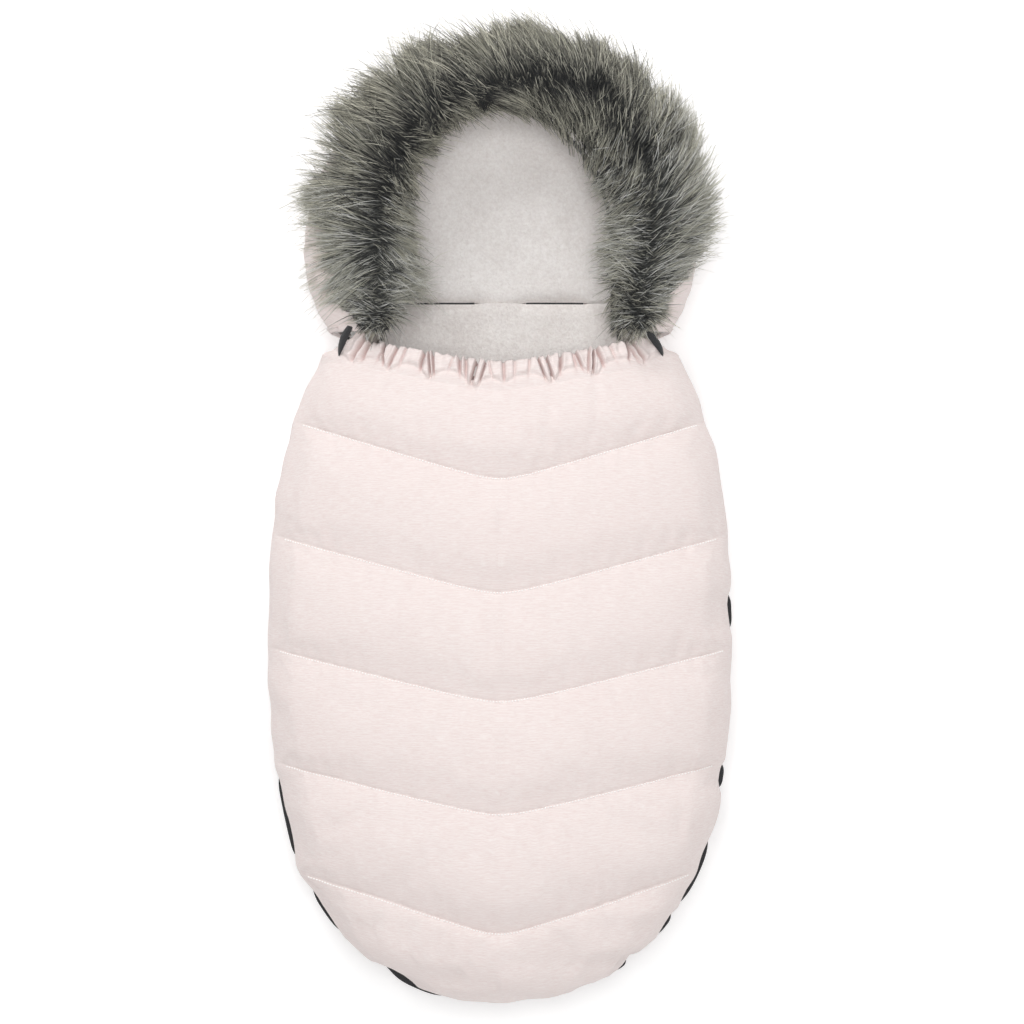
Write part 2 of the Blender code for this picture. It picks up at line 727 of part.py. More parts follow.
def part_outline(outline, level, side, axis=1):
    """The part of an outline on one side of a level, cut straight across where it crosses it."""
    kept = []
    for here, after in zip(outline, outline[1:] + outline[:1]):
        past, next_past = here[axis] - level, after[axis] - level
        if side * past >= 0:
            kept.append(tuple(here))
        if past * next_past < 0:
            share = past / (past - next_past)
            kept.append(tuple(a + (b - a) * share for a, b in zip(here, after)))
    return kept


def make_back():
    """The back is made in a foot part and a seat part, joined beside the slots by bound seams."""
    whole = back_outline(BASE_INSET, NECK_SEAM_Y - SHOULDER_SLOT_TALL / 2)
    foot_y = CROTCH_SLOT_Y - CROTCH_SLOT_TALL / 2
    seat_y = CROTCH_SLOT_Y + CROTCH_SLOT_TALL / 2
    layers = (
        ("base_panel", 0, BASE_THICK, "non_slip"),
        ("back_padding", BACK_WADDING_Z, BACK_PADDING_TOP_Z, "white_wadding"),
    )
    for name, low, high, paint in layers:
        slab(f"{name}_foot", part_outline(whole, foot_y, -1), low, high, paint)
        slab(f"{name}_seat", part_outline(whole, seat_y, 1), low, high, paint)
    between = part_outline(part_outline(whole, foot_y + GAP, 1), seat_y - GAP, -1)
    for word, side in (("left", -1), ("right", 1)):
        outline = part_outline(between, side * CROTCH_SLOT_WIDE / 2, side, 0)
        slab(f"seat_seam_{word}", outline, 0, BACK_PADDING_TOP_Z, "pink_melange")
    lining = back_outline(BASE_INSET, NECK_SEAM_Y - NECK_SEAM_GAP / 2)
    cut_slots(slab("back_lining", lining, BACK_LINING_Z, BACK_TOP_Z, "grey_plush"), BACK_TOP_Z)
    make_side_wall()


def make_neck_seam():
    """The bound seam between the seat and the hood, open at the two shoulder slots."""
    half_tall = SHOULDER_SLOT_TALL / 2 - GAP
    slot_in = SHOULDER_SLOT_X - SHOULDER_SLOT_WIDE / 2
    slot_out = SHOULDER_SLOT_X + SHOULDER_SLOT_WIDE / 2
    spans = (
        ("left", -NECK_HALF_WIDTH, -slot_out),
        ("middle", -slot_in, slot_in),
        ("right", slot_out, NECK_HALF_WIDTH),
    )
    for word, start, end in spans:
        outline = rectangle(start, end, NECK_SEAM_Y - half_tall, NECK_SEAM_Y + half_tall)
        slab(f"neck_seam_{word}", outline, 0, BACK_PADDING_TOP_Z, "pink_melange")


def make_side_wall():
    shell = wall_profile(0, BACK_LIP_Z, 0, WALL_FABRIC)
    half = GAP / 2
    for word, (first, *between, last) in zip(("left", "toe", "right"), wall_runs()):
        runs = [first + half, *between, last - half]
        sweep_runs(f"side_wall_shell_{word}", runs, shell, "pink_melange")
    runs = whole_wall_runs()
    top = BACK_INNER_LIP_Z
    low = BACK_TOP_Z + GAP
    pad = (
        (-WALL_FABRIC - GAP, low),
        (WALL_BULGE - WALL_FABRIC - GAP, top),
        (WALL_BULGE - WALL_FABRIC - GAP - WALL_WADDING, top),
        (-WALL_FABRIC - GAP - WALL_WADDING, low),
    )
    sweep_runs("side_wall_padding", runs, pad, "white_wadding")
    lining = [(pad[3][0] - GAP, low), (pad[2][0] - GAP, top)]
    lining += [(lining[1][0] - WALL_LINING, top), (lining[0][0] - WALL_LINING, low)]
    sweep_runs("side_wall_lining", runs, lining, "grey_plush")


def slot_box(name, x, wide, y, tall, top):
    return cutter_box(
        name,
        (x - wide / 2, y - tall / 2, -OVERRUN),
        (x + wide / 2, y + tall / 2, top + OVERRUN),
    )


def cut_slots(piece, top):
    for number, side in enumerate((-1, 1)):
        name = f"{piece.name}_shoulder_cut_{number}"
        combine(
            piece,
            slot_box(name, side * SHOULDER_SLOT_X, SHOULDER_SLOT_WIDE, NECK_SEAM_Y, SHOULDER_SLOT_TALL, top),
            "DIFFERENCE",
        )
    if piece.name.startswith("hood"):
        return
    cut = slot_box("crotch_cut", 0, CROTCH_SLOT_WIDE, CROTCH_SLOT_Y, CROTCH_SLOT_TALL, top)
    combine(piece, cut, "DIFFERENCE")


def round_slot(half_wide, half_tall):
    """Outline of a slot with rounded ends."""
    points = []
    straight = half_wide - half_tall
    for end in (1, -1):
        for i in range(BINDING_STEPS + 1):
            turn = math.pi * (i / BINDING_STEPS - 1 / 2)
            points.append((end * (straight + half_tall * math.cos(turn)), end * half_tall * math.sin(turn)))
    return points


def make_crotch_binding():
    """The bound edge of the crotch strap's slot: a sleeve through the back with a flange on the lining."""
    outer = (CROTCH_SLOT_WIDE / 2 - GAP, CROTCH_SLOT_TALL / 2 - GAP)
    inner = (outer[0] - BINDING_WALL, outer[1] - BINDING_WALL)
    flange = (outer[0] + BINDING_FLANGE, outer[1] + BINDING_FLANGE)
    top = BACK_TOP_Z + GAP
    lip = top + BINDING_WALL
    rings = []
    for (wide, tall), z in ((outer, GAP), (outer, top), (flange, top), (flange, lip), (inner, lip), (inner, GAP)):
        rings.append([Vector((x, CROTCH_SLOT_Y + y, z)) for x, y in round_slot(wide, tall)])
    loft("crotch_slot_binding", rings, "pink_melange", closed=True)


def make_toe_tab():
    """The tab that closes the two zips' ends at the toe."""
    low, high = BACK_LIP_Z + GAP, ZIP_Z - GAP
    half = CHAIN_THICK / 2
    profile = ((-half, low), (half, low), (half, high), (-half, high))
    run = TOE_TAB_HALF_WIDTH
    sweep_line("toe_tab", -run, run, TOE_TAB_STATIONS, profile, "black_tape")


# Hood


def hood_rays():
    """Rays across the hood from one cheek over the crown to the other: origin, direction, outline, rim."""
    rays = []
    for i in range(HOOD_CHEEK_STEPS):
        y = CHEEK_END_Y + (HOOD_CENTRE_Y - CHEEK_END_Y) * i / HOOD_CHEEK_STEPS
        reach = HOOD_RADIUS - CHEEK_RADIUS + math.sqrt(CHEEK_RADIUS**2 - (HOOD_CENTRE_Y - y) ** 2)
        rays.append((Vector((0, y, 0)), Vector((1, 0, 0)), reach, RIM_HALF_WIDTH))
    for i in range(HOOD_CROWN_STEPS + 1):
        turn = math.pi * i / HOOD_CROWN_STEPS
        way = Vector((math.cos(turn), math.sin(turn), 0))
        rim = 1 / math.hypot(way.x / RIM_HALF_WIDTH, way.y / RIM_CROWN_REACH)
        rays.append((Vector((0, HOOD_CENTRE_Y, 0)), way, HOOD_RADIUS, rim))
    for origin, way, reach, rim in reversed(rays[:HOOD_CHEEK_STEPS]):
        rays.append((origin, Vector((-1, 0, 0)), reach, rim))
    return rays


def ray_point(ray, out, z):
    origin, way = ray[:2]
    return origin + way * out + Vector((0, 0, z))


def hood_profile(ray, depth):
    """The hood wall's section on a ray, moved inwards by depth: distance out and height pairs."""
    reach, rim = ray[2:]
    section = []
    for out_share, z_share in HOOD_PROFILE_SHARES:
        section.append(Vector((rim + (reach - rim) * out_share, z_share * HOOD_TOP_Z)))
    moved = []
    for k, here in enumerate(section):
        before = section[max(k - 1, 0)]
        after = section[min(k + 1, len(section) - 1)]
        along = (after - before).normalized()
        moved.append(here + Vector((-along.y, along.x)) * depth)
    return moved


def hood_layer(name, depth, thick, paint):
    rings = []
    for ray in hood_rays():
        outer = hood_profile(ray, depth)
        inner = hood_profile(ray, depth + thick)
        section = outer + list(reversed(inner))
        rings.append([ray_point(ray, p.x, p.y) for p in section])
    loft(name, rings, paint, 50.0)


def hood_floor_outline(inset, seam_y):
    """Plan outline of the hood's flat back, from its seam edge round the crown."""
    points = [(NECK_HALF_WIDTH, seam_y)]
    for ray in hood_rays():
        spot = ray_point(ray, ray[3] + (ray[2] - ray[3]) * HOOD_PROFILE_SHARES[0][0] - inset, 0)
        if spot.y > seam_y + CORD_TAIL:
            points.append(spot[:2])
    points.append((-NECK_HALF_WIDTH, seam_y))
    return points


def make_hood():
    wadding = HOOD_FABRIC + GAP
    lining = wadding + HOOD_WADDING + GAP
    hood_layer("hood_wall_shell", 0, HOOD_FABRIC, "pink_melange")
    hood_layer("hood_wall_padding", wadding, HOOD_WADDING, "white_wadding")
    hood_layer("hood_wall_lining", lining, HOOD_LINING, "grey_plush")
    slot_edge = NECK_SEAM_Y + SHOULDER_SLOT_TALL / 2
    floor = hood_floor_outline(HOOD_FLOOR_INSET, slot_edge)
    slab("hood_back_panel", hood_floor_outline(-HOOD_PANEL_UNDERLAP, slot_edge), 0, BASE_THICK, "pink_melange")
    slab("hood_back_padding", floor, BACK_WADDING_Z, BACK_PADDING_TOP_Z, "white_wadding")
    floor = hood_floor_outline(HOOD_FLOOR_INSET, NECK_SEAM_Y + NECK_SEAM_GAP / 2)
    cut_slots(slab("hood_back_lining", floor, BACK_LINING_Z, BACK_TOP_Z, "grey_plush"), BACK_TOP_Z)


def make_rim():
    """The rim's channel, open towards the wall's edge, with the draw cord inside."""
    mouth = math.radians(CHANNEL_MOUTH_DEG) / 2
    centre_z = hood_profile(hood_rays()[0], 0)[-1].y - (HOOD_FABRIC + HOOD_WADDING + HOOD_LINING) / 2
    rings = []
    for ray in hood_rays():
        centre = ray[3] - CHANNEL_RADIUS * math.cos(mouth) - GAP
        section = []
        for radius, way in ((CHANNEL_RADIUS, 1), (CHANNEL_RADIUS - CHANNEL_WALL, -1)):
            for i in range(CHANNEL_STEPS + 1):
                share = i / CHANNEL_STEPS if way == 1 else 1 - i / CHANNEL_STEPS
                turn = mouth + (2 * math.pi - 2 * mouth) * share
                section.append((centre + radius * math.cos(turn), centre_z + radius * math.sin(turn)))
        rings.append([ray_point(ray, out, z) for out, z in section])
    loft("hood_rim_channel", rings, "pink_melange", 50.0)
    rings = []
    rays = hood_rays()
    ends = (rays[0][0] - Vector((0, CORD_TAIL, 0)), rays[-1][0] - Vector((0, CORD_TAIL, 0)))
    rays = [(ends[0], *rays[0][1:]), *rays, (ends[1], *rays[-1][1:])]
    step = (math.pi - mouth) / CHANNEL_STEPS
    play = (CHANNEL_RADIUS - CHANNEL_WALL) * math.cos(step) - CORD_RADIUS - GAP
    for ray in rays:
        centre = ray[3] - CHANNEL_RADIUS * math.cos(mouth) - GAP - play
        around = circle(centre, centre_z, CORD_RADIUS, CORD_SIDES)
        rings.append([ray_point(ray, out, z) for out, z in around])
    loft("hood_draw_cord", rings, "grey_cord", 50.0)


def make_fur():
    """The fur trim: a woven band sewn over the hood's edge, and the pile that stands on it."""
    bands, piles = [], []
    lift = GAP + BAND_THICK + GAP
    for ray in hood_rays():
        low = hood_profile(ray, -GAP)[BAND_PLACES]
        high = hood_profile(ray, -GAP - BAND_THICK)[BAND_PLACES]
        section = low + list(reversed(high))
        bands.append([ray_point(ray, p.x, p.y) for p in section])
        under = hood_profile(ray, -lift)
        way, reach, rim = ray[1:]
        outward = PILE_OUTWARD + (PILE_CROWN_OUTWARD - PILE_OUTWARD) * way.y**2
        wall_top = under[-1].y
        crest = rim + (reach - rim) * PILE_CREST_SHARE
        belly = rim + (reach - rim) * PILE_BELLY_SHARE
        section = under[2:] + [
            Vector((rim - PILE_INWARD / 2, wall_top)),
            Vector((rim - PILE_INWARD, PILE_TIP_Z)),
            Vector((rim - PILE_INWARD / 2, (PILE_CREST_Z + PILE_TIP_Z) / 2)),
            Vector((crest, PILE_CREST_Z)),
            Vector((belly, (PILE_CREST_Z + HOOD_TOP_Z) / 2)),
            Vector((reach + outward, (PILE_HEM_Z + HOOD_TOP_Z) / 2)),
            Vector((reach + outward * PILE_HEM_SHARE, PILE_HEM_Z)),
        ]
        piles.append([ray_point(ray, p.x, p.y) for p in section])
    loft("fur_band", bands, "fur_backing", 50.0)
    loft("fur_pile", piles, "fur", 60.0)


def make_sliders():
    run = ZIP_RUN - SLIDER_FROM_TOP
    for word, side in (("left", -1), ("right", 1)):
        make_slider(word, side, run)


def hang_bodies():
    """The cover hangs on the toe's hinge line and the hood on the neck seam's."""
    pieces = [p for p in bpy.data.objects if p.type == "MESH" and not p.hide_render]
    cover = [p for p in pieces if p.name.startswith(("cover_", "zip_cover_"))]
    hood = [p for p in pieces if p.name.startswith(("hood_", "fur_"))]
    hang_on("cover_hinge", Vector((0, TOE_Y - TOE_HINGE_OUTSET, ZIP_Z)), cover)
    hang_on("hood_hinge", Vector((0, NECK_SEAM_Y, 0)), hood)


def main():
    clear_scene()
    make_back()
    make_neck_seam()
    make_crotch_binding()
    make_toe_tab()
    make_zips()
    make_sliders()
    make_cover()
    make_hem()
    make_hood()
    make_rim()
    make_fur()
    hang_bodies()


main()
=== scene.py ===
# A padded footmuff for a stroller, lying on its back and seen from straight above.
# Metres, +Z up, +Y towards the hood, with the origin on the flat underside of the back.
import math
from contextlib import contextmanager

import bmesh
import bpy
import numpy as np
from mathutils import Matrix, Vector


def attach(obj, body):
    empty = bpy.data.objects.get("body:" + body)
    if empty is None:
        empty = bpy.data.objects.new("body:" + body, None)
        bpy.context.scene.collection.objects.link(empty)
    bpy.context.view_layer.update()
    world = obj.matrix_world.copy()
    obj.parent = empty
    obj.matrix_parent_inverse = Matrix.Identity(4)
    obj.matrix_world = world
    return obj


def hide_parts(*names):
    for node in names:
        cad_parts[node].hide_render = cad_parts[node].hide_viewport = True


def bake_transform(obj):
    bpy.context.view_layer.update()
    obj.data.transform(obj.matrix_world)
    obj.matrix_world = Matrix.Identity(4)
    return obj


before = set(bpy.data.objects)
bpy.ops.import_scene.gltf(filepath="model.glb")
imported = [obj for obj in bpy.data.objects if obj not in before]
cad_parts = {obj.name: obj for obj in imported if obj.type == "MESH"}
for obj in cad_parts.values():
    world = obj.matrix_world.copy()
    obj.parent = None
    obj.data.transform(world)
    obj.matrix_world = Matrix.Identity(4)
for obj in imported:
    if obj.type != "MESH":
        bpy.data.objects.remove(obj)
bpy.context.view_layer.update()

# Camera, floor and light.
# A long lens looks straight down on a white floor, under a pale sky and large soft lights, the
# strongest of them past the hood, so that each quilted channel is a little darker above its seam.
# The floor glows a little, so that it stays white up to the footmuff's edge.
PHOTO_SCALE, PHOTO_PIXELS = 0.000965, 1024
PHOTO_CENTRE = (0.0116, -0.0029)
LENS_MM, SENSOR_MM, SUBJECT_Z = 120.0, 36.0, 0.10
FLOOR_SIZE, FLOOR_GLOW, SKY_STRENGTH = 9.0, 0.22, 0.46

camera_data = bpy.data.cameras.new("camera")
camera_data.lens, camera_data.sensor_width = LENS_MM, SENSOR_MM
camera_data.clip_end = 20.0
camera = bpy.data.objects.new("camera", camera_data)
camera.location = (*PHOTO_CENTRE, SUBJECT_Z + PHOTO_PIXELS * PHOTO_SCALE * LENS_MM / SENSOR_MM)
bpy.context.collection.objects.link(camera)
bpy.context.scene.camera = camera
bpy.context.scene.view_settings.view_transform = "Standard"

bpy.ops.object.select_all(action="DESELECT")
bpy.ops.mesh.primitive_grid_add(x_subdivisions=8, y_subdivisions=8, size=FLOOR_SIZE, location=(0, 0, 0))
floor = bpy.context.object
floor.name = "floor"
floor_paint = bpy.data.materials.new("white_floor")
floor_paint.use_nodes = True
floor_shader = floor_paint.node_tree.nodes["Principled BSDF"]
floor_shader.inputs["Base Color"].default_value = (0.93, 0.93, 0.93, 1)
floor_shader.inputs["Roughness"].default_value = 0.9
floor_shader.inputs["Emission Color"].default_value = (1, 1, 1, 1)
floor_shader.inputs["Emission Strength"].default_value = FLOOR_GLOW
floor.data.materials.append(floor_paint)

sky = bpy.data.worlds.new("sky")
bpy.context.scene.world = sky
sky.use_nodes = True
sky.node_tree.nodes["Background"].inputs["Color"].default_value = (1, 1, 1, 1)
sky.node_tree.nodes["Background"].inputs["Strength"].default_value = SKY_STRENGTH


def soft_light(name, spot, size, watts):
    """A square area light that faces the footmuff."""
    data = bpy.data.lights.new(name, "AREA")
    data.size, data.energy = size, watts
    light = bpy.data.objects.new(name, data)
    light.location = spot
    light.rotation_euler = (Vector((0, 0, 0.1)) - Vector(spot)).to_track_quat("-Z", "Y").to_euler()
    bpy.context.collection.objects.link(light)


# Each light's name, spot, size and watts.
LIGHTS = (
    ("overhead_light", (0.0, 0.3, 3.9), 1.4, 57),
    ("hood_side_light", (-0.5, 2.3, 1.8), 1.6, 31),
    ("toe_side_light", (0.8, -2.2, 1.9), 1.8, 10),
)
for light in LIGHTS:
    soft_light(*light)

# Underside of the back.
# One dark coated cloth with small raised dots lies on the seat, so that the footmuff doesn't slip.


def new_material(name, colour, rough, sheen=0.0):
    """A Principled material, and its nodes, links and shader."""
    made = bpy.data.materials.new(name)
    made.use_nodes = True
    tree = made.node_tree
    shader = tree.nodes["Principled BSDF"]
    shader.inputs["Base Color"].default_value = (*colour, 1)
    shader.inputs["Roughness"].default_value = rough
    shader.inputs["Sheen Weight"].default_value = sheen
    shader.inputs["Sheen Roughness"].default_value = 0.5
    return made, tree, shader


def node(tree, kind, links=None, **values):
    """A node with its settings, and its inputs fed by sockets or set to values."""
    made = tree.nodes.new(kind)
    for key, value in values.items():
        setattr(made, key, value)
    for key, value in (links or {}).items():
        if isinstance(value, bpy.types.NodeSocket):
            tree.links.new(value, made.inputs[key])
        else:
            made.inputs[key].default_value = value
    return made


def new_group(name, inputs, outputs):
    """An empty shader group with named sockets: (name, kind, value) in and (name, kind) out."""
    tree = bpy.data.node_groups.new(name, "ShaderNodeTree")
    for label, kind, value in inputs:
        socket = tree.interface.new_socket(name=label, in_out="INPUT", socket_type=kind)
        if value is not None:
            socket.default_value = value
    for label, kind in outputs:
        tree.interface.new_socket(name=label, in_out="OUTPUT", socket_type=kind)
    return tree, tree.nodes.new("NodeGroupInput"), tree.nodes.new("NodeGroupOutput")


def object_place(tree):
    return node(tree, "ShaderNodeTexCoord").outputs["Object"]


def noise(tree, place, scale, detail, **more):
    links = {"Vector": place, "Scale": scale, "Detail": detail, **more}
    return node(tree, "ShaderNodeTexNoise", links).outputs[0]


def wave(tree, place, scale, distortion, way):
    links = {"Vector": place, "Scale": scale, "Distortion": distortion}
    return node(tree, "ShaderNodeTexWave", links, bands_direction=way).outputs["Fac"]


def cells(tree, place, scale, **more):
    return node(tree, "ShaderNodeTexVoronoi", {"Vector": place, "Scale": scale, **more}).outputs["Distance"]


def sums(tree, kind, *values, **more):
    """A sum, product or the like of sockets and numbers."""
    links = dict(enumerate(values))
    return node(tree, "ShaderNodeMath", links, operation=kind, **more).outputs[0]


def ramp(tree, value, **ends):
    """A value read between two ends, given as from_min, from_max, to_min and to_max."""
    links = {key.replace("_", " ").title(): end for key, end in ends.items()}
    return node(tree, "ShaderNodeMapRange", {"Value": value, **links}).outputs[0]


def mix(tree, factor, low, high):
    """A colour between two colours or colour sockets; a plain colour is three numbers."""
    low, high = ((*side, 1) if isinstance(side, tuple) else side for side in (low, high))
    links = {"Factor": factor, "A": low, "B": high}
    return node(tree, "ShaderNodeMix", links, data_type="RGBA").outputs["Result"]


def colour_by(tree, shader, factor, low, high):
    """Colours a material between low and high."""
    tree.links.new(mix(tree, factor, low, high), shader.inputs["Base Color"])


def bump(tree, shader, height, strength, distance):
    made = node(tree, "ShaderNodeBump", {"Height": height, "Strength": strength, "Distance": distance})
    tree.links.new(made.outputs["Normal"], shader.inputs["Normal"])


def heather_group():
    """Melange cloth: a fine plain weave whose pale and pink yarns run in short level streaks."""
    tree, given, put = new_group(
        "heather_cloth",
        [
            ("Place", "NodeSocketVector", None),
            ("Pale", "NodeSocketColor", (0.90, 0.83, 0.80, 1)),
            ("Tint", "NodeSocketColor", (0.83, 0.71, 0.68, 1)),
            ("Streaks", "NodeSocketFloat", 0.5),
        ],
        [("Color", "NodeSocketColor"), ("Height", "NodeSocketFloat")],
    )
    place = given.outputs["Place"]
    long_yarns = node(tree, "ShaderNodeMapping", {"Vector": place, "Scale": (75, 900, 900)}).outputs[0]
    short_yarns = node(tree, "ShaderNodeMapping", {"Vector": place, "Scale": (220, 1900, 1900)}).outputs[0]
    streaks, flecks = noise(tree, long_yarns, 1.0, 3.0), noise(tree, short_yarns, 1.0, 2.0)
    centred = sums(tree, "SUBTRACT", sums(tree, "ADD", streaks, flecks), 1.0)
    drift = sums(tree, "MULTIPLY_ADD", noise(tree, place, 14.0, 3.0), 0.25, 0.36)
    contrast = sums(tree, "MULTIPLY", centred, 2.6)
    mixed = sums(tree, "MULTIPLY_ADD", contrast, given.outputs["Streaks"], drift, use_clamp=True)
    paint = mix(tree, mixed, given.outputs["Pale"], given.outputs["Tint"])
    tree.links.new(paint, put.inputs["Color"])
    warp, weft = wave(tree, place, 480.0, 0.6, "X"), wave(tree, place, 520.0, 0.6, "Y")
    height = sums(tree, "MULTIPLY_ADD", streaks, 0.7, sums(tree, "MULTIPLY", warp, weft))
    tree.links.new(height, put.inputs["Height"])
    return tree


HEATHER = heather_group()
PINK_PALE, PINK_TINT = (0.885, 0.812, 0.788, 1), (0.795, 0.672, 0.648, 1)


def heather_cloth(name, map_name="weave"):
    """The pink melange cloth, laid by the piece's own map, or by object coordinates without one."""
    made, tree, shader = new_material(name, PINK_PALE[:3], 0.86, 0.12)
    if map_name:
        place = node(tree, "ShaderNodeUVMap", uv_map=map_name).outputs[0]
    else:
        place = object_place(tree)
    links = {"Place": place, "Pale": PINK_PALE, "Tint": PINK_TINT, "Streaks": 0.65}
    cloth = node(tree, "ShaderNodeGroup", links, node_tree=HEATHER)
    tree.links.new(cloth.outputs["Color"], shader.inputs["Base Color"])
    bump(tree, shader, cloth.outputs["Height"], 0.35, 0.00025)
    return made


def wear(name, *materials):
    """Gives a CAD node its finished materials in place of its plain ones."""
    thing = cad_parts[name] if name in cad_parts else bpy.data.objects[name]
    for number, paint in enumerate(materials):
        thing.material_slots[number].material = paint
    return thing


dotted, dotted_tree, dotted_shader = new_material("non_slip_cloth", (0.030, 0.030, 0.032), 0.62)
dots = cells(dotted_tree, object_place(dotted_tree), 170.0, Randomness=0.0)
dot_edge = ramp(dotted_tree, dots, from_min=0.30, from_max=0.22)
colour_by(dotted_tree, dotted_shader, dot_edge, (0.035, 0.035, 0.037), (0.075, 0.075, 0.080))
bump(dotted_tree, dotted_shader, dot_edge, 0.6, 0.0006)
wear("base_panel_foot", dotted)
wear("base_panel_seat", dotted)

# Back cushion.
# The child lies on short-pile plush over thick wadding, quilted only at its edge. The harness passes
# through two slots at the neck seam and a bound slot for the crotch strap.
SIDE_R, SIDE_X, WIDE_Y = 0.720, -0.507, -0.136
TOE_Y, ZIP_TOP_Y = -0.4655, 0.168
SIDE_DROP = WIDE_Y - TOE_Y
FOOT_R = (SIDE_R**2 - SIDE_X**2 - SIDE_DROP**2) / (2 * (SIDE_R - SIDE_DROP))
FOOT_Y = TOE_Y + FOOT_R
JOIN_TURN = math.atan2(WIDE_Y - FOOT_Y, -SIDE_X)
FOOT_RUN = FOOT_R * (math.pi / 2 - JOIN_TURN)
ZIP_RUN = FOOT_RUN + SIDE_R * (JOIN_TURN + math.asin((ZIP_TOP_Y - WIDE_Y) / SIDE_R))


def zip_line(run, outset):
    """Plan points at signed runs from the toe along the zip, moved outwards by outset."""
    run = np.asarray(run, float)
    along = np.abs(run)
    at_toe = along < FOOT_RUN
    turn = np.where(at_toe, along / FOOT_R - math.pi / 2, (along - FOOT_RUN) / SIDE_R - JOIN_TURN)
    radius = np.where(at_toe, FOOT_R, SIDE_R) + outset
    x = np.where(at_toe, 0, SIDE_X) + radius * np.cos(turn)
    y = np.where(at_toe, FOOT_Y, WIDE_Y) + radius * np.sin(turn)
    return np.where(run < 0, -x, x), y


def zip_run_at(y):
    """The run from the toe at which the zip line reaches y."""
    y = np.asarray(y, float)
    toe = FOOT_R * (np.arcsin(np.clip((y - FOOT_Y) / FOOT_R, -1, 1)) + math.pi / 2)
    side = FOOT_RUN + SIDE_R * (np.arcsin(np.clip((y - WIDE_Y) / SIDE_R, -1, 1)) + JOIN_TURN)
    return np.where(y < FOOT_Y - FOOT_R * math.sin(JOIN_TURN), toe, side)


def within_zip(x, y):
    """How far inside the zip line plan points lie, and the outward direction there."""
    side = np.where(x < 0, -1.0, 1.0)
    at_toe = np.arctan2(y - FOOT_Y, np.abs(x)) < -JOIN_TURN
    reach_x = np.abs(x) - np.where(at_toe, 0, SIDE_X)
    reach_y = y - np.where(at_toe, FOOT_Y, WIDE_Y)
    length = np.maximum(np.hypot(reach_x, reach_y), 1e-9)
    return np.where(at_toe, FOOT_R, SIDE_R) - length, side * reach_x / length, reach_y / length


def cloth_grid(name, across, along, where):
    """A grid of cloth whose vertices lie where(u, v) says, with u across and v along, both 0 to 1."""
    bpy.ops.object.select_all(action="DESELECT")
    bpy.ops.mesh.primitive_grid_add(x_subdivisions=across, y_subdivisions=along, size=1, location=(0, 0, 0))
    cloth = bpy.context.object
    cloth.name = cloth.data.name = name
    flat = read_points(cloth)
    put_points(cloth, where(flat[:, 0] + 0.5, flat[:, 1] + 0.5))
    return cloth


def grid_shares(across, along):
    """The shares u and v of a grid's vertices, in Blender's order."""
    u, v = np.meshgrid(np.linspace(0, 1, across + 1), np.linspace(0, 1, along + 1))
    return u.ravel(), v.ravel()


def read_points(cloth):
    flat = np.empty(3 * len(cloth.data.vertices))
    cloth.data.vertices.foreach_get("co", flat)
    return flat.reshape(-1, 3)


def put_points(cloth, points):
    cloth.data.vertices.foreach_set("co", np.ascontiguousarray(points, float).ravel())
    cloth.data.update()


@contextmanager
def reshaping(cloth):
    """The piece's mesh, open for changes of its faces."""
    bm = bmesh.new()
    bm.from_mesh(cloth.data)
    yield bm
    bm.to_mesh(cloth.data)
    bm.free()


def border(bm):
    """The edges with a face on one side only."""
    return [e for e in bm.edges if len(e.link_faces) == 1]


def facing(cloth, way):
    """Turns all faces over if their mean normal points against way."""
    normals = np.empty(3 * len(cloth.data.polygons))
    cloth.data.polygons.foreach_get("normal", normals)
    if (normals.reshape(-1, 3).mean(0) * way).sum() < 0:
        cloth.data.flip_normals()


def modifier(cloth, kind, **values):
    """Adds a modifier and applies it."""
    step = cloth.modifiers.new(kind.lower(), kind)
    for key, value in values.items():
        setattr(step, key, value)
    bpy.ops.object.select_all(action="DESELECT")
    cloth.select_set(True)
    bpy.context.view_layer.objects.active = cloth
    bpy.ops.object.modifier_apply(modifier=step.name)


def thicken(cloth, thick, offset=-1.0):
    """Gives a face of cloth its thickness, inwards by default."""
    modifier(cloth, "SOLIDIFY", thickness=thick, offset=offset)


def box_piece(name, low, high, rounding):
    """A box between two corners, with its edges rounded."""
    bpy.ops.object.select_all(action="DESELECT")
    bpy.ops.mesh.primitive_cube_add(size=1, location=(0, 0, 0))
    box = bpy.context.object
    box.name = box.data.name = name
    low, high = np.array(low), np.array(high)
    put_points(box, low + (read_points(box) + 0.5) * (high - low))
    modifier(box, "BEVEL", width=rounding, segments=2)
    return box


def map_cloth(cloth, flat):
    """Gives a piece the map named weave: the cloth laid flat in metres, from one place per vertex."""
    data = cloth.data
    while data.uv_layers:
        data.uv_layers.remove(data.uv_layers[0])
    layer = data.uv_layers.new(name="weave")
    corner = np.empty(len(data.loops), int)
    data.loops.foreach_get("vertex_index", corner)
    layer.uv.foreach_set("vector", flat[corner].astype(np.float32).ravel())


def dress(cloth, paint, body, slot, *replaced):
    """Smooth shading, material, the body it rides on, and the solids that it stands for."""
    cloth.data.shade_smooth()
    cloth.data.materials.clear()
    cloth.data.materials.append(paint)
    if body:
        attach(cloth, body)
    if replaced:
        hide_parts(*replaced)


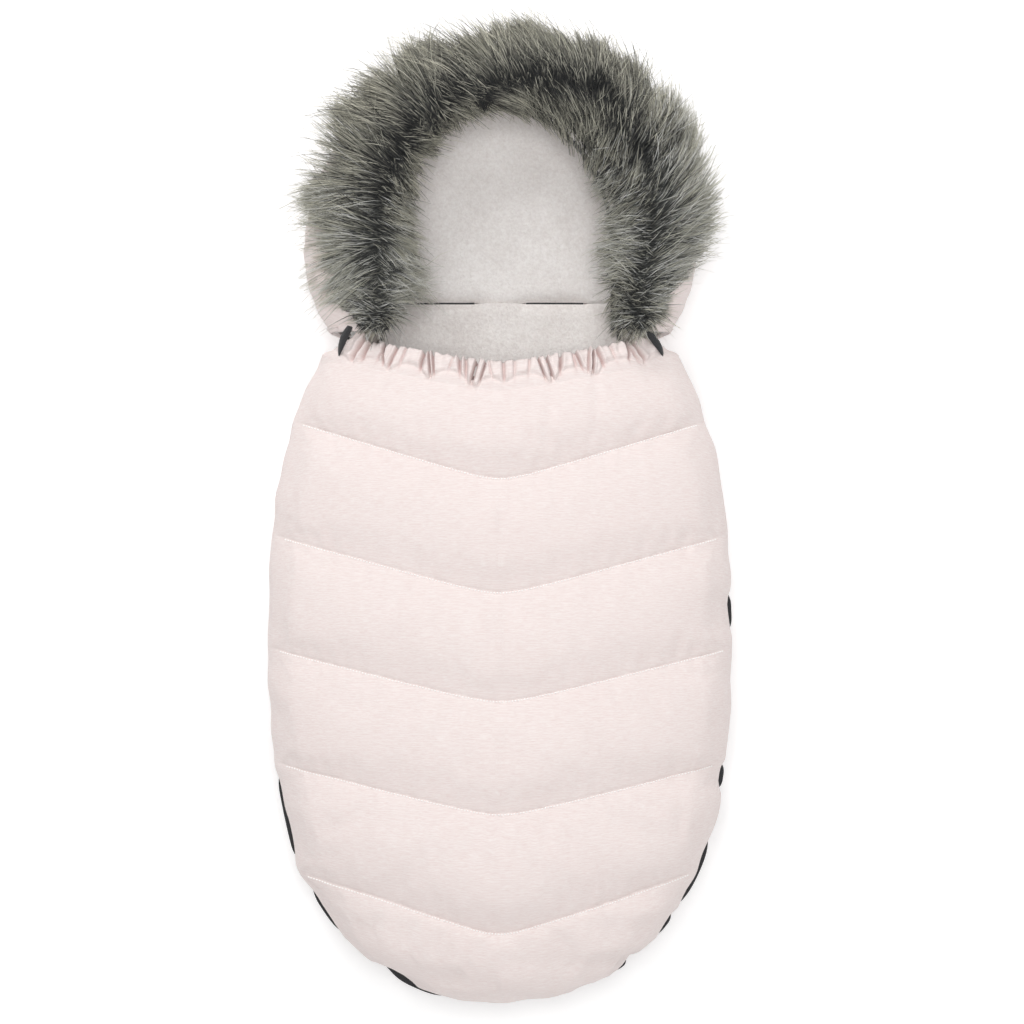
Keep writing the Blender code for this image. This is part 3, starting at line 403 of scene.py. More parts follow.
def plush_group():
    """Short brushed pile: a dense grain of fibre tips, brushed patches and pressed hollows."""
    tree, given, put = new_group(
        "plush",
        [
            ("Place", "NodeSocketVector", None),
            ("Tip", "NodeSocketColor", (0.7, 0.68, 0.66, 1)),
            ("Shaded_Root", "NodeSocketColor", (0.5, 0.48, 0.47, 1)),
            ("Grain", "NodeSocketFloat", 700.0),
        ],
        [("Color", "NodeSocketColor"), ("Height", "NodeSocketFloat")],
    )
    place = given.outputs["Place"]
    fibre = noise(tree, place, given.outputs["Grain"], 4.0, Distortion=0.6)
    tufts = sums(tree, "ADD", noise(tree, place, 190.0, 3.0), sums(tree, "MULTIPLY_ADD", fibre, 1.6, -0.50))
    # Partly random tone over broad patches, partly painted shade: the pile takes the darker root colour in
    # its low hollows and the tip colour on its tufts.
    shade = ramp(tree, sums(tree, "ADD", noise(tree, place, 28.0, 4.0), tufts), from_min=0.85, from_max=1.75)
    tree.links.new(mix(tree, shade, given.outputs["Shaded_Root"], given.outputs["Tip"]), put.inputs["Color"])
    tree.links.new(tufts, put.inputs["Height"])
    return tree


PLUSH = plush_group()


def plush(name, tip, root):
    made, tree, shader = new_material(name, tip, 0.95, 0.35)
    links = {"Place": object_place(tree), "Tip": (*tip, 1), "Shaded_Root": (*root, 1), "Grain": 420.0}
    pile = node(tree, "ShaderNodeGroup", links, node_tree=PLUSH)
    tree.links.new(pile.outputs["Color"], shader.inputs["Base Color"])
    bump(tree, shader, pile.outputs["Height"], 0.55, 0.0012)
    return made


SEAM_Y = 0.204
SLOT_X, SLOT_HALF_WIDE = 0.054, 0.0285
CROTCH_Y, CROTCH_HALF_WIDE, CROTCH_HALF_TALL = -0.070, 0.0256, 0.0046
CUSHION_LOW, CUSHION_HIGH, EDGE_DROP = 0.0019, 0.0160, 0.0045
BACK_INSET, SEAM_SOFT, SLOT_PRESS = 0.0216, 0.0035, 0.0050
NECK_HALF, NECK_FROM = 0.140, 0.150
CUSHION_PRESS, CROTCH_PRESS = 0.0020, 0.0035


def soft_noise(x, y, size, seed):
    """Smooth ups and downs of about -1 to 1 over places in metres, size apart, from a few waves."""
    waves = np.random.default_rng(seed)
    total = np.zeros_like(np.asarray(x, float))
    for _ in range(7):
        turn, phase = waves.uniform(0, math.tau, 2)
        pitch = size * waves.uniform(0.7, 1.5)
        total += np.sin(math.tau * (x * math.cos(turn) + y * math.sin(turn)) / pitch + phase)
    return total / 3.0


def cushion_edge(y):
    """Half the back's width inside the wall's foot, drawn in at the neck."""
    wide, _ = zip_line(zip_run_at(np.clip(y, TOE_Y + BACK_INSET, ZIP_TOP_Y)), -BACK_INSET)
    neck = np.clip((y - NECK_FROM) / (SEAM_Y - NECK_FROM), 0, 1)
    return wide * (1 - neck) + NECK_HALF * neck


def cushion_face(x, y, edge, side, rounding, soft):
    """The y and z of a cushion's face: rounded down at its edge, pressed at the seam and at the slots."""
    crown = 1 - np.exp(-np.maximum(edge, 0) / rounding)
    seam = np.exp(side * (SEAM_Y - y) / SEAM_SOFT)
    z = CUSHION_HIGH + EDGE_DROP * (crown - 1) - CUSHION_PRESS * seam + crown * soft
    shoulder = np.maximum(np.abs(np.abs(x) - SLOT_X) - SLOT_HALF_WIDE, 0)
    loose = 0.0002 * (1 + soft_noise(x, 0 * x, 0.05, 9))
    y = y + seam * (side * 0.0008 * np.exp(-((shoulder / 0.003) ** 2)) - loose)
    z -= SLOT_PRESS * np.exp(-(((SEAM_Y - y) / 0.006) ** 2)) * np.exp(-((shoulder / 0.006) ** 2))
    return y, z


def back_place(u, v):
    """The back's plush face: rows from the toe to the neck seam, higher in the middle than at its edge."""
    toe_y = TOE_Y + BACK_INSET
    y = toe_y + (SEAM_Y - 0.0001 - toe_y) * np.where(v < 0.5, 2 * v**2, 1 - 2 * (1 - v) ** 2)
    half = np.maximum(cushion_edge(y), 0.004)
    s = 2 * u - 1
    x = half * np.sin(math.pi / 2 * s)
    edge = np.minimum(half - np.abs(x), (y - toe_y) * 1.2)
    y, z = cushion_face(x, y, edge, -1, 0.010, 0.0011 * soft_noise(x, y, 0.13, 3))
    beside, beyond = np.abs(x) - CROTCH_HALF_WIDE, np.abs(y - CROTCH_Y) - CROTCH_HALF_TALL
    crotch = np.hypot(np.maximum(beside, 0), np.maximum(beyond, 0))
    return np.stack([x, y, z - CROTCH_PRESS * np.exp(-((crotch / 0.012) ** 2))], 1)


def cut_slot(cloth, x, y, half_wide, half_tall):
    """Opens a slot by taking out the faces inside it."""
    with reshaping(cloth) as bm:
        middles = [(f, f.calc_center_median()) for f in bm.faces]
        gone = [f for f, c in middles if abs(c.x - x) < half_wide and abs(c.y - y) < half_tall]
        bmesh.ops.delete(bm, geom=gone, context="FACES")


def pad_down(cloth, low):
    """Closes a cushion: its border is extruded down to its flat underside, which is filled."""
    with reshaping(cloth) as bm:
        for part in bmesh.ops.extrude_edge_only(bm, edges=border(bm))["geom"]:
            if isinstance(part, bmesh.types.BMVert):
                part.co.z = low
        bmesh.ops.triangle_fill(bm, edges=border(bm), use_beauty=True)
        bmesh.ops.recalc_face_normals(bm, faces=bm.faces)


back_plush = plush("back_plush", (0.980, 0.940, 0.912), (0.800, 0.742, 0.715))
back_cushion = cloth_grid("back_cushion", 84, 150, back_place)
facing(back_cushion, (0, 0, 1))
cut_slot(back_cushion, 0, CROTCH_Y, CROTCH_HALF_WIDE, CROTCH_HALF_TALL)
pad_down(back_cushion, CUSHION_LOW)
dress(back_cushion, back_plush, "back", "grey_plush", "back_lining", "back_padding_foot", "back_padding_seat")
binding = heather_cloth("slot_binding_cloth", map_name=None)
wear("crotch_slot_binding", binding)

# Flat strips of binding cloth close the seams of the underside: their span in x and in y.
SEAT_SEAM, NECK_SEAM, TAPE_THICK = (-0.0744, -0.0656), (0.2012, 0.2068), 0.0018
SEAM_TAPES = {
    "seat_seam_left": ((-0.188, -0.0264), SEAT_SEAM),
    "seat_seam_right": ((0.0264, 0.188), SEAT_SEAM),
    "neck_seam_left": ((-0.1396, -0.0828), NECK_SEAM),
    "neck_seam_middle": ((-0.0252, 0.0252), NECK_SEAM),
    "neck_seam_right": ((0.0828, 0.1396), NECK_SEAM),
}
for seam, ((from_x, to_x), (from_y, to_y)) in SEAM_TAPES.items():
    tape = box_piece(f"{seam}_tape", (from_x, from_y, 0), (to_x, to_y, TAPE_THICK), 0.0004)
    dress(tape, binding, "back", "pink_melange", seam)

# Side wall.
# A strip of padded outer cloth stands round the back from one side of the neck to the other, sewn to
# the underside at its foot and to the lower half of the zip at its top; plush lines it inside.
WALL_FOOT, WALL_BULGE, WALL_TOP_Z = -0.0195, 0.0036, 0.0372
WALL_PAD_LOW, WALL_PAD_HIGH, WALL_PAD_OUT, WALL_PAD_HALF, WALL_LEAN = 0.0168, 0.0296, -0.0076, 0.0050, 0.0036


def wall_outset(v):
    """How far the wall bellies out from the zip line between its foot and its top."""
    return WALL_FOOT + (WALL_BULGE - WALL_FOOT) * np.sin(math.pi / 2 * np.minimum(v / 0.7, 1)) ** 0.4


def wall_place(u, v):
    """The wall's cloth, from its foot up to the zip."""
    run = (2 * u - 1) * ZIP_RUN
    soft = np.sin(math.pi * v) * 0.0012 * soft_noise(run, 0 * run, 0.06, 11)
    x, y = zip_line(run, wall_outset(v) + soft - 0.0004 * (v > 0.97))
    return np.stack([x, y, WALL_TOP_Z * v], 1)


def wrap_map(cloth, top_z, centre=None):
    """Cloth laid flat over the top and turned down outwards over the sides."""
    points = read_points(cloth)
    if centre is None:
        _, out_x, out_y = within_zip(points[:, 0], points[:, 1])
    else:
        away = points[:, :2] - centre
        out_x, out_y = (away / np.maximum(np.hypot(*away.T), 1e-6)[:, None]).T
    drop = top_z - points[:, 2]
    map_cloth(cloth, np.stack([points[:, 0] + out_x * drop, points[:, 1] + out_y * drop], 1))


side_wall = cloth_grid("side_wall_cloth", 520, 14, wall_place)
thicken(side_wall, 0.0012)
wrap_map(side_wall, WALL_TOP_Z)
pink = heather_cloth("outer_cloth")
WALL_SHELLS = ("side_wall_shell_left", "side_wall_shell_toe", "side_wall_shell_right")
dress(side_wall, pink, "back", "pink_melange", *WALL_SHELLS)


def squared(wave_value, power):
    """A wave from -1 to 1 with its tops made flatter, for sections between a circle and a box."""
    return np.sign(wave_value) * np.abs(wave_value) ** power


def wall_plush_place(u, v):
    """Round the section of the wall's inner pad: up its outer face, over its top and down inside."""
    run = (2 * u - 1) * (ZIP_RUN - 0.0004)
    turn = math.tau * v
    mid = (WALL_PAD_LOW + WALL_PAD_HIGH) / 2
    z = mid + (WALL_PAD_HIGH - WALL_PAD_LOW) / 2 * squared(np.sin(turn), 0.35)
    lean = WALL_LEAN * (z - WALL_PAD_LOW) / (WALL_PAD_HIGH - WALL_PAD_LOW)
    outset = WALL_PAD_OUT + WALL_PAD_HALF * squared(np.cos(turn), 0.35) + lean
    x, y = zip_line(run, outset + 0.0006 * soft_noise(run, z, 0.05, 5) * (np.cos(turn) < 0))
    return np.stack([x, y, z], 1)


wall_plush = cloth_grid("side_wall_plush", 400, 24, wall_plush_place)


def close_tube(cloth):
    """Joins a grid whose first and last columns meet, and fills its two ends."""
    with reshaping(cloth) as bm:
        bmesh.ops.remove_doubles(bm, verts=bm.verts, dist=0.00001)
        bmesh.ops.holes_fill(bm, edges=border(bm), sides=0)
        bmesh.ops.recalc_face_normals(bm, faces=bm.faces)


close_tube(wall_plush)
dress(wall_plush, back_plush, "back", "grey_plush", "side_wall_padding", "side_wall_lining")

# Zips.
# Two long zips close the cover to the back, one along each side to the toe. Black woven tapes stand
# edge to edge on the zip line, each with a nylon coil along its free edge.
woven, woven_tree, woven_shader = new_material("black_zip_tape", (0.018, 0.018, 0.020), 0.78, 0.15)
woven_place = object_place(woven_tree)
threads = noise(woven_tree, woven_place, 1600.0, 2.0)
ribs = wave(woven_tree, woven_place, 300.0, 0.8, "Z")
colour_by(woven_tree, woven_shader, threads, (0.010, 0.010, 0.011), (0.036, 0.036, 0.039))
bump(woven_tree, woven_shader, sums(woven_tree, "ADD", ribs, threads), 0.5, 0.0004)

coil_nylon, coil_tree, coil_shader = new_material("black_coil_nylon", (0.020, 0.020, 0.022), 0.42)
coil_wear = noise(coil_tree, object_place(coil_tree), 300.0, 3.0)
colour_by(coil_tree, coil_shader, coil_wear, (0.012, 0.012, 0.013), (0.040, 0.040, 0.043))
coil_tree.links.new(ramp(coil_tree, coil_wear, to_min=0.34, to_max=0.58), coil_shader.inputs["Roughness"])

COIL_PITCH, COIL_HALF_THICK, COIL_DEEP = 0.0016, 0.0025, 0.0020
COIL_STARTS, COIL_STOPS = 0.0074, 0.0040
# The level of each chain's free edge, and whether its coil lies above or below it.
COIL_EDGES = {"back": (0.0442, -1), "cover": (0.0458, 1)}


def copies(name, shape, spots, frames):
    """One mesh of many copies of a small shape, each turned by its frame of axes and put in its spot."""
    base = read_points(shape)
    faces = [tuple(p.vertices) for p in shape.data.polygons]
    count = len(base)
    points = (np.einsum("nij,kj->nki", frames, base) + spots[:, None, :]).reshape(-1, 3)
    mesh = bpy.data.meshes.new(name)
    all_faces = [tuple(i + n * count for i in f) for n in range(len(spots)) for f in faces]
    mesh.from_pydata(points.tolist(), [], all_faces)
    bpy.data.objects.remove(shape, do_unlink=True)
    made = bpy.data.objects.new(name, mesh)
    bpy.context.collection.objects.link(made)
    return made


def small_ball(size, segments=8, rings=5):
    """A small rounded shape of the given half sizes, to be copied."""
    bpy.ops.object.select_all(action="DESELECT")
    bpy.ops.mesh.primitive_uv_sphere_add(segments=segments, ring_count=rings, radius=1, location=(0, 0, 0))
    ball = bpy.context.object
    put_points(ball, read_points(ball) * np.array(size))
    return ball


def coil_along(name, side, edge_z, up, node_name, body):
    """The coil's turns along one half of a zip, bent over its edge like small hooks."""
    runs = np.arange(COIL_STARTS, ZIP_RUN - COIL_STOPS, COIL_PITCH) * side
    x, y = zip_line(runs, 0)
    _, out_x, out_y = within_zip(x, y)
    zero, one = np.zeros_like(x), np.ones_like(x)
    spots = np.stack([x, y, edge_z + up * COIL_DEEP / 2 * one], 1)
    out = np.stack([out_x, out_y, zero], 1)
    along = np.stack([-out_y, out_x, zero], 1)
    lift = np.stack([zero, zero, one], 1)
    frames = np.stack([out, along, lift], 2)
    turn = small_ball((COIL_HALF_THICK, COIL_PITCH * 0.42, COIL_DEEP / 2))
    made = copies(name, turn, spots, frames)
    dress(made, coil_nylon, body, "black_tape", node_name)


for side, word in ((-1, "left"), (1, "right")):
    for body, (edge_z, up) in COIL_EDGES.items():
        coil_along(f"coil_{body}_{word}", side, edge_z, up, f"zip_{body}_chain_{word}", body)
        wear(f"zip_{body}_tape_{word}", woven)
wear("toe_tab", woven)

# Quilted cover.
# Two layers of cloth with wadding between them, sewn through in five chevrons and turned down at the
# sides to the upper half of the zip. Each channel swells between its seams; the seams stay pinned.
COVER_BULGE, SWELL_Z, COVER_RISE, DOME_REACH, DOME_POWER = 0.0115, 0.0680, 0.0640, 0.2150, 2.3
HEM_Y, HEM_DIP = 0.1450, 0.0250
SEAM_ENDS = (HEM_Y, 0.0790, -0.0270, -0.1330, -0.2420, -0.3420)
SEAM_DIPS = (HEM_DIP, 0.0490, 0.0520, 0.0500, 0.0490, 0.0640)
TIP_ROUND = 0.10
QUILT_PUFF = 0.0085
TOE_ROW_RUN = 0.0300
COVER_LIP_Z, COVER_LIP_OUT = 0.0528, 0.0036
COVER_TOP_Z = 0.1325
COVER_PRESSURE, COVER_CAP, SWELL_FRAMES = 4.0, 0.0030, 20


def dome(x, y):
    """Height and normal of the cover's stitched level over plan points."""
    inside, out_x, out_y = within_zip(x, y)
    share = np.clip((inside + COVER_BULGE) / DOME_REACH, 1e-6, 1)
    left = 1 - share
    height = (1 - left**DOME_POWER) ** (1 / DOME_POWER)
    slope = left ** (DOME_POWER - 1) * height ** (1 - DOME_POWER) * COVER_RISE / DOME_REACH
    normal = np.stack([out_x * slope, out_y * slope, np.ones_like(slope)], -1)
    return SWELL_Z + COVER_RISE * height, normal / np.linalg.norm(normal, axis=-1, keepdims=True)


def seam_dip(across):
    """How far a chevron has dipped, from 0 at the cover's sides to 1 at its rounded tip."""
    full = math.hypot(1, TIP_ROUND) - TIP_ROUND
    return 1 - (np.hypot(across, TIP_ROUND) - TIP_ROUND) / full


def cover_row(t):
    """At rows t (0 hem, whole at seams, 6 toe): the end's run, middle's y, toe's share, channel's share."""
    ends, dips = np.array(SEAM_ENDS), np.array(SEAM_DIPS)
    places = np.arange(6)
    y, dip = np.interp(t, places, ends), np.interp(t, places, dips)
    toe = np.clip(t - 5, 0, 1)
    last_run = zip_run_at(SEAM_ENDS[-1])
    run = np.where(t > 5, last_run + (TOE_ROW_RUN - last_run) * toe, zip_run_at(y))
    last_middle = SEAM_ENDS[-1] - SEAM_DIPS[-1]
    middle = np.where(t > 5, last_middle + (TOE_Y - COVER_BULGE - last_middle) * toe, y - dip)
    return run, middle, toe, np.where(t > 5, toe**0.75, t - np.floor(t))


def cover_points(across, t, lift):
    """Points of the cover at places across from -1 to 1 on rows t, raised by lift over the stitched level."""
    run, middle, toe, _ = cover_row(t)
    end_x, end_y = zip_line(run, COVER_BULGE)
    dip = (1 - toe) * seam_dip(across) + toe * (1 - across**2)
    x, y = end_x * across, end_y - (end_y - middle) * dip
    z, normal = dome(x, y)
    return np.stack([x, y, z], -1) + normal * lift[..., None]


# Places across the hem, from -1 to 1, where the drawn-in cloth is pinched far into the cover, and where
# it only creases; and how deep each is.
HEM_PINCHES = (
    (-0.821, 0.8), (-0.626, 0.8), (-0.406, 1.0), (-0.152, 1.4),
    (0.0235, 0.6), (0.2925, 1.2), (0.538, 1.2), (0.80, 0.8),
)
HEM_CREASES = (
    (-0.775, 0.9), (-0.697, 0.6), (-0.670, 0.9), (-0.575, 0.5), (-0.457, 1.0), (-0.384, 0.9),
    (-0.300, 0.3), (-0.232, 0.9), (-0.195, 0.6), (-0.105, 0.8), (-0.045, 0.3), (0.085, 0.35),
    (0.165, 0.4), (0.250, 1.0), (0.350, 0.8), (0.440, 0.6), (0.472, 0.9), (0.512, 0.6),
    (0.591, 0.9), (0.665, 0.4), (0.735, 0.9), (0.770, 0.6),
)


def puffed(across, t):
    """How far the quilted cloth stands over its stitched level."""
    _, _, _, share = cover_row(t)
    points = cover_points(across, t, np.zeros_like(t))
    inside, _, _ = within_zip(points[..., 0], points[..., 1])
    rise = np.sin(math.pi * np.clip(share, 0, 1)) ** 0.62
    fade = np.clip((inside + COVER_BULGE) / 0.030, 0, 1)
    x, y = points[..., 0], points[..., 1]
    lift = QUILT_PUFF * rise * fade * (1 + 0.10 * soft_noise(x, y, 0.12, 21))
    near_seam = np.exp(-(np.minimum(share, 1 - share) / 0.16) ** 2) * np.clip(rise * 3, 0, 1)
    lift += 0.00055 * near_seam * fade * soft_noise(x, y * 0.25, 0.017, 22)
    for place, depth in HEM_PINCHES:
        reach = np.exp(-t / (0.05 + 0.09 * depth)) * (1 - np.exp(-t / 0.012))
        lift -= 0.0034 * depth * reach * np.exp(-(((across - place + 0.05 * t) / (0.016 + 0.05 * t)) ** 2))
    return lift


COVER_COLUMNS, COVER_ROWS = 120, 156


def cover_rows(v):
    """Rows of the cover's grid, closer together beside each seam."""
    t = 6 * v
    return t - 0.7 * np.sin(math.tau * t) / math.tau


def cover_place(u, v):
    """The cover's outer face, with finer columns towards its sides."""
    across, t = np.sin(math.pi / 2 * (2 * u - 1)), cover_rows(v)
    return cover_points(across, t, puffed(across, t))


def cover_held(u, v):
    """How firmly the cover is held: by its seams, at its border and under the hem, and freer between."""
    across, t = np.sin(math.pi / 2 * (2 * u - 1)), cover_rows(v)
    from_seam = np.minimum(t % 1, 1 - t % 1)
    held = np.maximum(1 - from_seam / 0.14, (np.abs(across) - 0.90) / 0.06)
    return np.clip(np.maximum(held, np.maximum((0.30 - t) / 0.12, (t - 5.8) / 0.1)), 0, 1)


# How far the cover is filled out past its zip, at places y from the toe to the hem.
SPREAD_Y = (-0.50, -0.46, -0.40, -0.33, -0.27, -0.20, -0.10, -0.03, 0.04, 0.10, 0.145, 0.175)
SPREAD_OUT = (
    0.0030, 0.0045, 0.0055, 0.0070, 0.0055, 0.0025,
    0.0020, 0.0065, 0.0110, 0.0115, 0.0070, 0.0005,
)

# Where the zip's easing draws the cover in, so that a sliver of tape shows: places y and half lengths.
TUCKS = {
    -1: ((-0.279, 0.025), (-0.319, 0.022), (-0.386, 0.028), (-0.451, 0.030)),
    1: ((-0.101, 0.019), (-0.259, 0.013), (-0.350, 0.038), (-0.398, 0.013), (-0.433, 0.008)),
}


def tuck(side, run):
    """How strongly the cover is drawn in along the zip of one side, 0 to 1."""
    return sum(np.exp(-(((np.abs(run) - zip_run_at(y)) / long) ** 4)) for y, long in TUCKS[side])


def spread(cloth):
    """Fills the cover out past its zip where the wadding is loosest: at the shoulders and round the toe."""
    x, y, z = read_points(cloth).T
    inside, out_x, out_y = within_zip(x, y)
    out = np.interp(y, SPREAD_Y, SPREAD_OUT) + 0.0012 * soft_noise(x, y, 0.045, 23)
    run = zip_run_at(np.clip(y, TOE_Y, ZIP_TOP_Y))
    out -= 0.0052 * np.where(x < 0, tuck(-1, run), tuck(1, run))
    out *= np.exp(-((np.maximum(inside + COVER_BULGE, 0) / 0.045) ** 2))
    out *= np.clip((z - COVER_LIP_Z) / 0.030, 0, 1) ** 0.5
    put_points(cloth, np.stack([x + out_x * out, y + out_y * out, z], 1))


def turn_down(cloth, levels, depth=0.0):
    """Extrudes the cover's side and toe border down to the zip: one row of faces for each level."""
    with reshaping(cloth) as bm:
        edges = []
        for e in border(bm):
            ends = np.array([v.co.xy for v in e.verts])
            inside, _, _ = within_zip(ends[:, 0], ends[:, 1])
            if (inside <= -COVER_BULGE + depth + 0.0008).all():
                edges.append(e)
        for level in levels:
            made = bmesh.ops.extrude_edge_only(bm, edges=edges)["geom"]
            verts = [g for g in made if isinstance(g, bmesh.types.BMVert)]
            fresh = set(verts)
            edges = [g for g in made if isinstance(g, bmesh.types.BMEdge) and len(g.link_faces) == 1]
            edges = [e for e in edges if all(v in fresh for v in e.verts)]
            x, y = np.array([v.co.xy for v in verts]).T
            inside, out_x, out_y = within_zip(x, y)
            share = (level - COVER_LIP_Z) / (SWELL_Z - COVER_LIP_Z)
            outset = COVER_LIP_OUT + (COVER_BULGE - COVER_LIP_OUT) * math.sin(math.pi / 2 * share) - depth
            for v, i, ox, oy in zip(verts, inside, out_x, out_y):
                v.co.x += ox * (outset + i)
                v.co.y += oy * (outset + i)
                v.co.z = level


def pin_group(cloth, held):
    """A vertex group that holds each point as firmly as given, in steps of a hundredth."""
    group, held = cloth.vertex_groups.new(name="held"), np.round(held, 2)
    for strength in np.unique(held[held > 0]):
        group.add(np.nonzero(held == strength)[0].tolist(), float(strength), "REPLACE")
    return group.name


CLOTH_FEEL = {
    "quality": 5,
    "mass": 0.15,
    "tension_stiffness": 12,
    "compression_stiffness": 12,
    "shear_stiffness": 6,
    "bending_stiffness": 1.2,
    "shrink_min": -0.012,
    "use_pressure": True,
    "uniform_pressure_force": COVER_PRESSURE,
}


def swell(cloth, held):
    """Blows the cloth up between the places where it is held, and then caps how far a point has moved."""
    before = read_points(cloth)
    group = pin_group(cloth, held)
    step = cloth.modifiers.new("cloth", "CLOTH")
    for key, value in CLOTH_FEEL.items():
        setattr(step.settings, key, value)
    step.settings.vertex_group_mass = group
    step.settings.effector_weights.gravity = 0
    step.point_cache.frame_start, step.point_cache.frame_end = 1, SWELL_FRAMES
    scene = bpy.context.scene
    for number in range(1, SWELL_FRAMES + 1):
        scene.frame_set(number)
    deps = bpy.context.evaluated_depsgraph_get()
    after = np.empty(3 * len(before))
    cloth.evaluated_get(deps).data.vertices.foreach_get("co", after)
    moved = after.reshape(-1, 3) - before
    length = np.linalg.norm(moved, axis=1, keepdims=True)
    moved *= np.minimum(1, COVER_CAP / np.maximum(length, 1e-9))
    cloth.modifiers.remove(step)
    cloth.vertex_groups.clear()
    scene.frame_set(1)
    put_points(cloth, before + moved)


cover = cloth_grid("quilted_cover", COVER_COLUMNS, COVER_ROWS, cover_place)
facing(cover, (0, 0, 1))
swell(cover, cover_held(*grid_shares(COVER_COLUMNS, COVER_ROWS)))
turn_down(cover, (0.0650, 0.0615, 0.0575, COVER_LIP_Z))
spread(cover)
wrap_map(cover, COVER_TOP_Z)
dress(cover, pink, "cover", "pink_melange", "cover_shell", "cover_padding")
thicken(cover, 0.0030)


TAPE_EDGE_Y, TAPE_EDGE_IN, TAPE_EDGE_Z = (-0.085, -0.4755), 0.0062, 0.0518


def make_tape_edge(side, word):
    """The outer edge of the zip's tape, which curls out past the cover where the cover is drawn in."""
    low, high = zip_run_at(TAPE_EDGE_Y)

    def edge_place(u, v):
        run = low + (high - low) * v
        _, y = zip_line(run, 0.0)
        toe_bend = 0.0045 * np.clip((-0.38 - y) / 0.08, 0, 1)
        bend = COVER_BULGE + 0.66 * np.interp(y, SPREAD_Y, SPREAD_OUT) + toe_bend
        reach = bend - 0.0050 + 0.0062 * np.clip(tuck(side, run), 0, 1)
        x, y = zip_line(run, TAPE_EDGE_IN + (reach - TAPE_EDGE_IN) * u)
        z = TAPE_EDGE_Z + 0.0010 * np.sin(math.pi * u) + 0.0006 * u
        return np.stack([side * np.abs(x), y, z], -1)

    edge = cloth_grid(f"zip_tape_edge_{word}", 6, 400, edge_place)
    facing(edge, (0, 0, 1))
    thicken(edge, 0.0007, 1.0)
    dress(edge, woven, "cover", "black_tape")


make_tape_edge(-1, "left")
make_tape_edge(1, "right")

# Stitches of the chevrons.
# A pale twisted thread runs along each seam in short stitches that sink into the wadding.
STITCH_PITCH, STITCH_HALF_LONG, STITCH_HALF_THICK, STITCH_BELOW = 0.0030, 0.00110, 0.00080, 0.0013
CHANNEL_LONG, STITCHED_SHARE, SEAM_SAMPLES = 0.105, 0.945, 1200


def stitch_row(t):
    """Spots and frames of the stitches of one seam."""
    across = np.linspace(-STITCHED_SHARE, STITCHED_SHARE, SEAM_SAMPLES)
    row = np.full(SEAM_SAMPLES, t + STITCH_BELOW / CHANNEL_LONG)
    line = cover_points(across, row, puffed(across, row) + 0.0003)
    length = np.concatenate([[0], np.cumsum(np.linalg.norm(np.diff(line, axis=0), axis=1))])
    at = np.arange(STITCH_PITCH, length[-1], STITCH_PITCH)
    spots = np.stack([np.interp(at, length, line[:, i]) for i in range(3)], 1)
    ahead = np.stack([np.interp(at + 0.0005, length, line[:, i]) for i in range(3)], 1)
    along = ahead - spots
    along /= np.maximum(np.linalg.norm(along, axis=1, keepdims=True), 1e-9)
    _, lift = dome(spots[:, 0], spots[:, 1])
    level = np.cross(lift, along)
    return spots, np.stack([along, level, lift], 2)


rows = [stitch_row(t) for t in range(1, 6)]
stitches = copies(
    "chevron_stitches",
    small_ball((STITCH_HALF_LONG, STITCH_HALF_THICK, STITCH_HALF_THICK), 8, 4),
    np.concatenate([spots for spots, _ in rows]),
    np.concatenate([frames for _, frames in rows]),
)
spread(stitches)
thread, thread_tree, thread_shader = new_material("pale_thread", (0.96, 0.94, 0.93), 0.45, 0.1)
twist = noise(thread_tree, object_place(thread_tree), 2200.0, 2.0)
colour_by(thread_tree, thread_shader, twist, (0.93, 0.90, 0.88), (1.0, 0.99, 0.98))
dress(stitches, thread, "cover", "pink_melange")

# Lining of the cover.
# Plush under the wadding, caught down by the same seams, turned down to the zip inside the cover.
LINING_DEPTH = 0.0072


def lining_place(u, v):
    """The lining's outer face, under the cover's stitched level and caught down at the seams."""
    across, t = np.sin(math.pi / 2 * (2 * u - 1)), 6 * v
    points = cover_points(across, t, np.zeros_like(t))
    lift = -LINING_DEPTH + 0.0012 + 0.0008 * soft_noise(points[:, 0], points[:, 1], 0.05, 31)
    _, normal = dome(points[:, 0], points[:, 1])
    return points + normal * (lift - 0.0012 * np.exp(-(np.minimum(t % 1, 1 - t % 1) / 0.06) ** 2))[:, None]


cover_plush = cloth_grid("cover_plush", 72, 90, lining_place)
facing(cover_plush, (0, 0, 1))
turn_down(cover_plush, (0.0640, 0.0605, 0.0560, 0.0525), LINING_DEPTH)
spread(cover_plush)
thicken(cover_plush, 0.0014)
dress(cover_plush, back_plush, "cover", "grey_plush", "cover_lining")

# Gathered hem.
# The cover's open edge is a turned band drawn in by elastic: the cloth stands in rounded puffs between
# narrow, deep creases, and its free edge rises and dips with them.
HEM_DEEP, HEM_LAP, HEM_LAP_SHARE, HEM_SPAN = 0.0200, 0.0110, 0.34, 1.957
HEM_COLUMNS, HEM_ROWS = 1100, 44


def hem_points(across, back, lift):
    """Places over the cover's dome, a distance past the hem's line and raised by lift."""
    end_x, _ = zip_line(zip_run_at(HEM_Y + back), COVER_BULGE)
    x, y = end_x * across, HEM_Y + back - HEM_DIP * seam_dip(across)
    z, normal = dome(x, y)
    return np.stack([x, y, z], -1) + normal * lift[..., None]


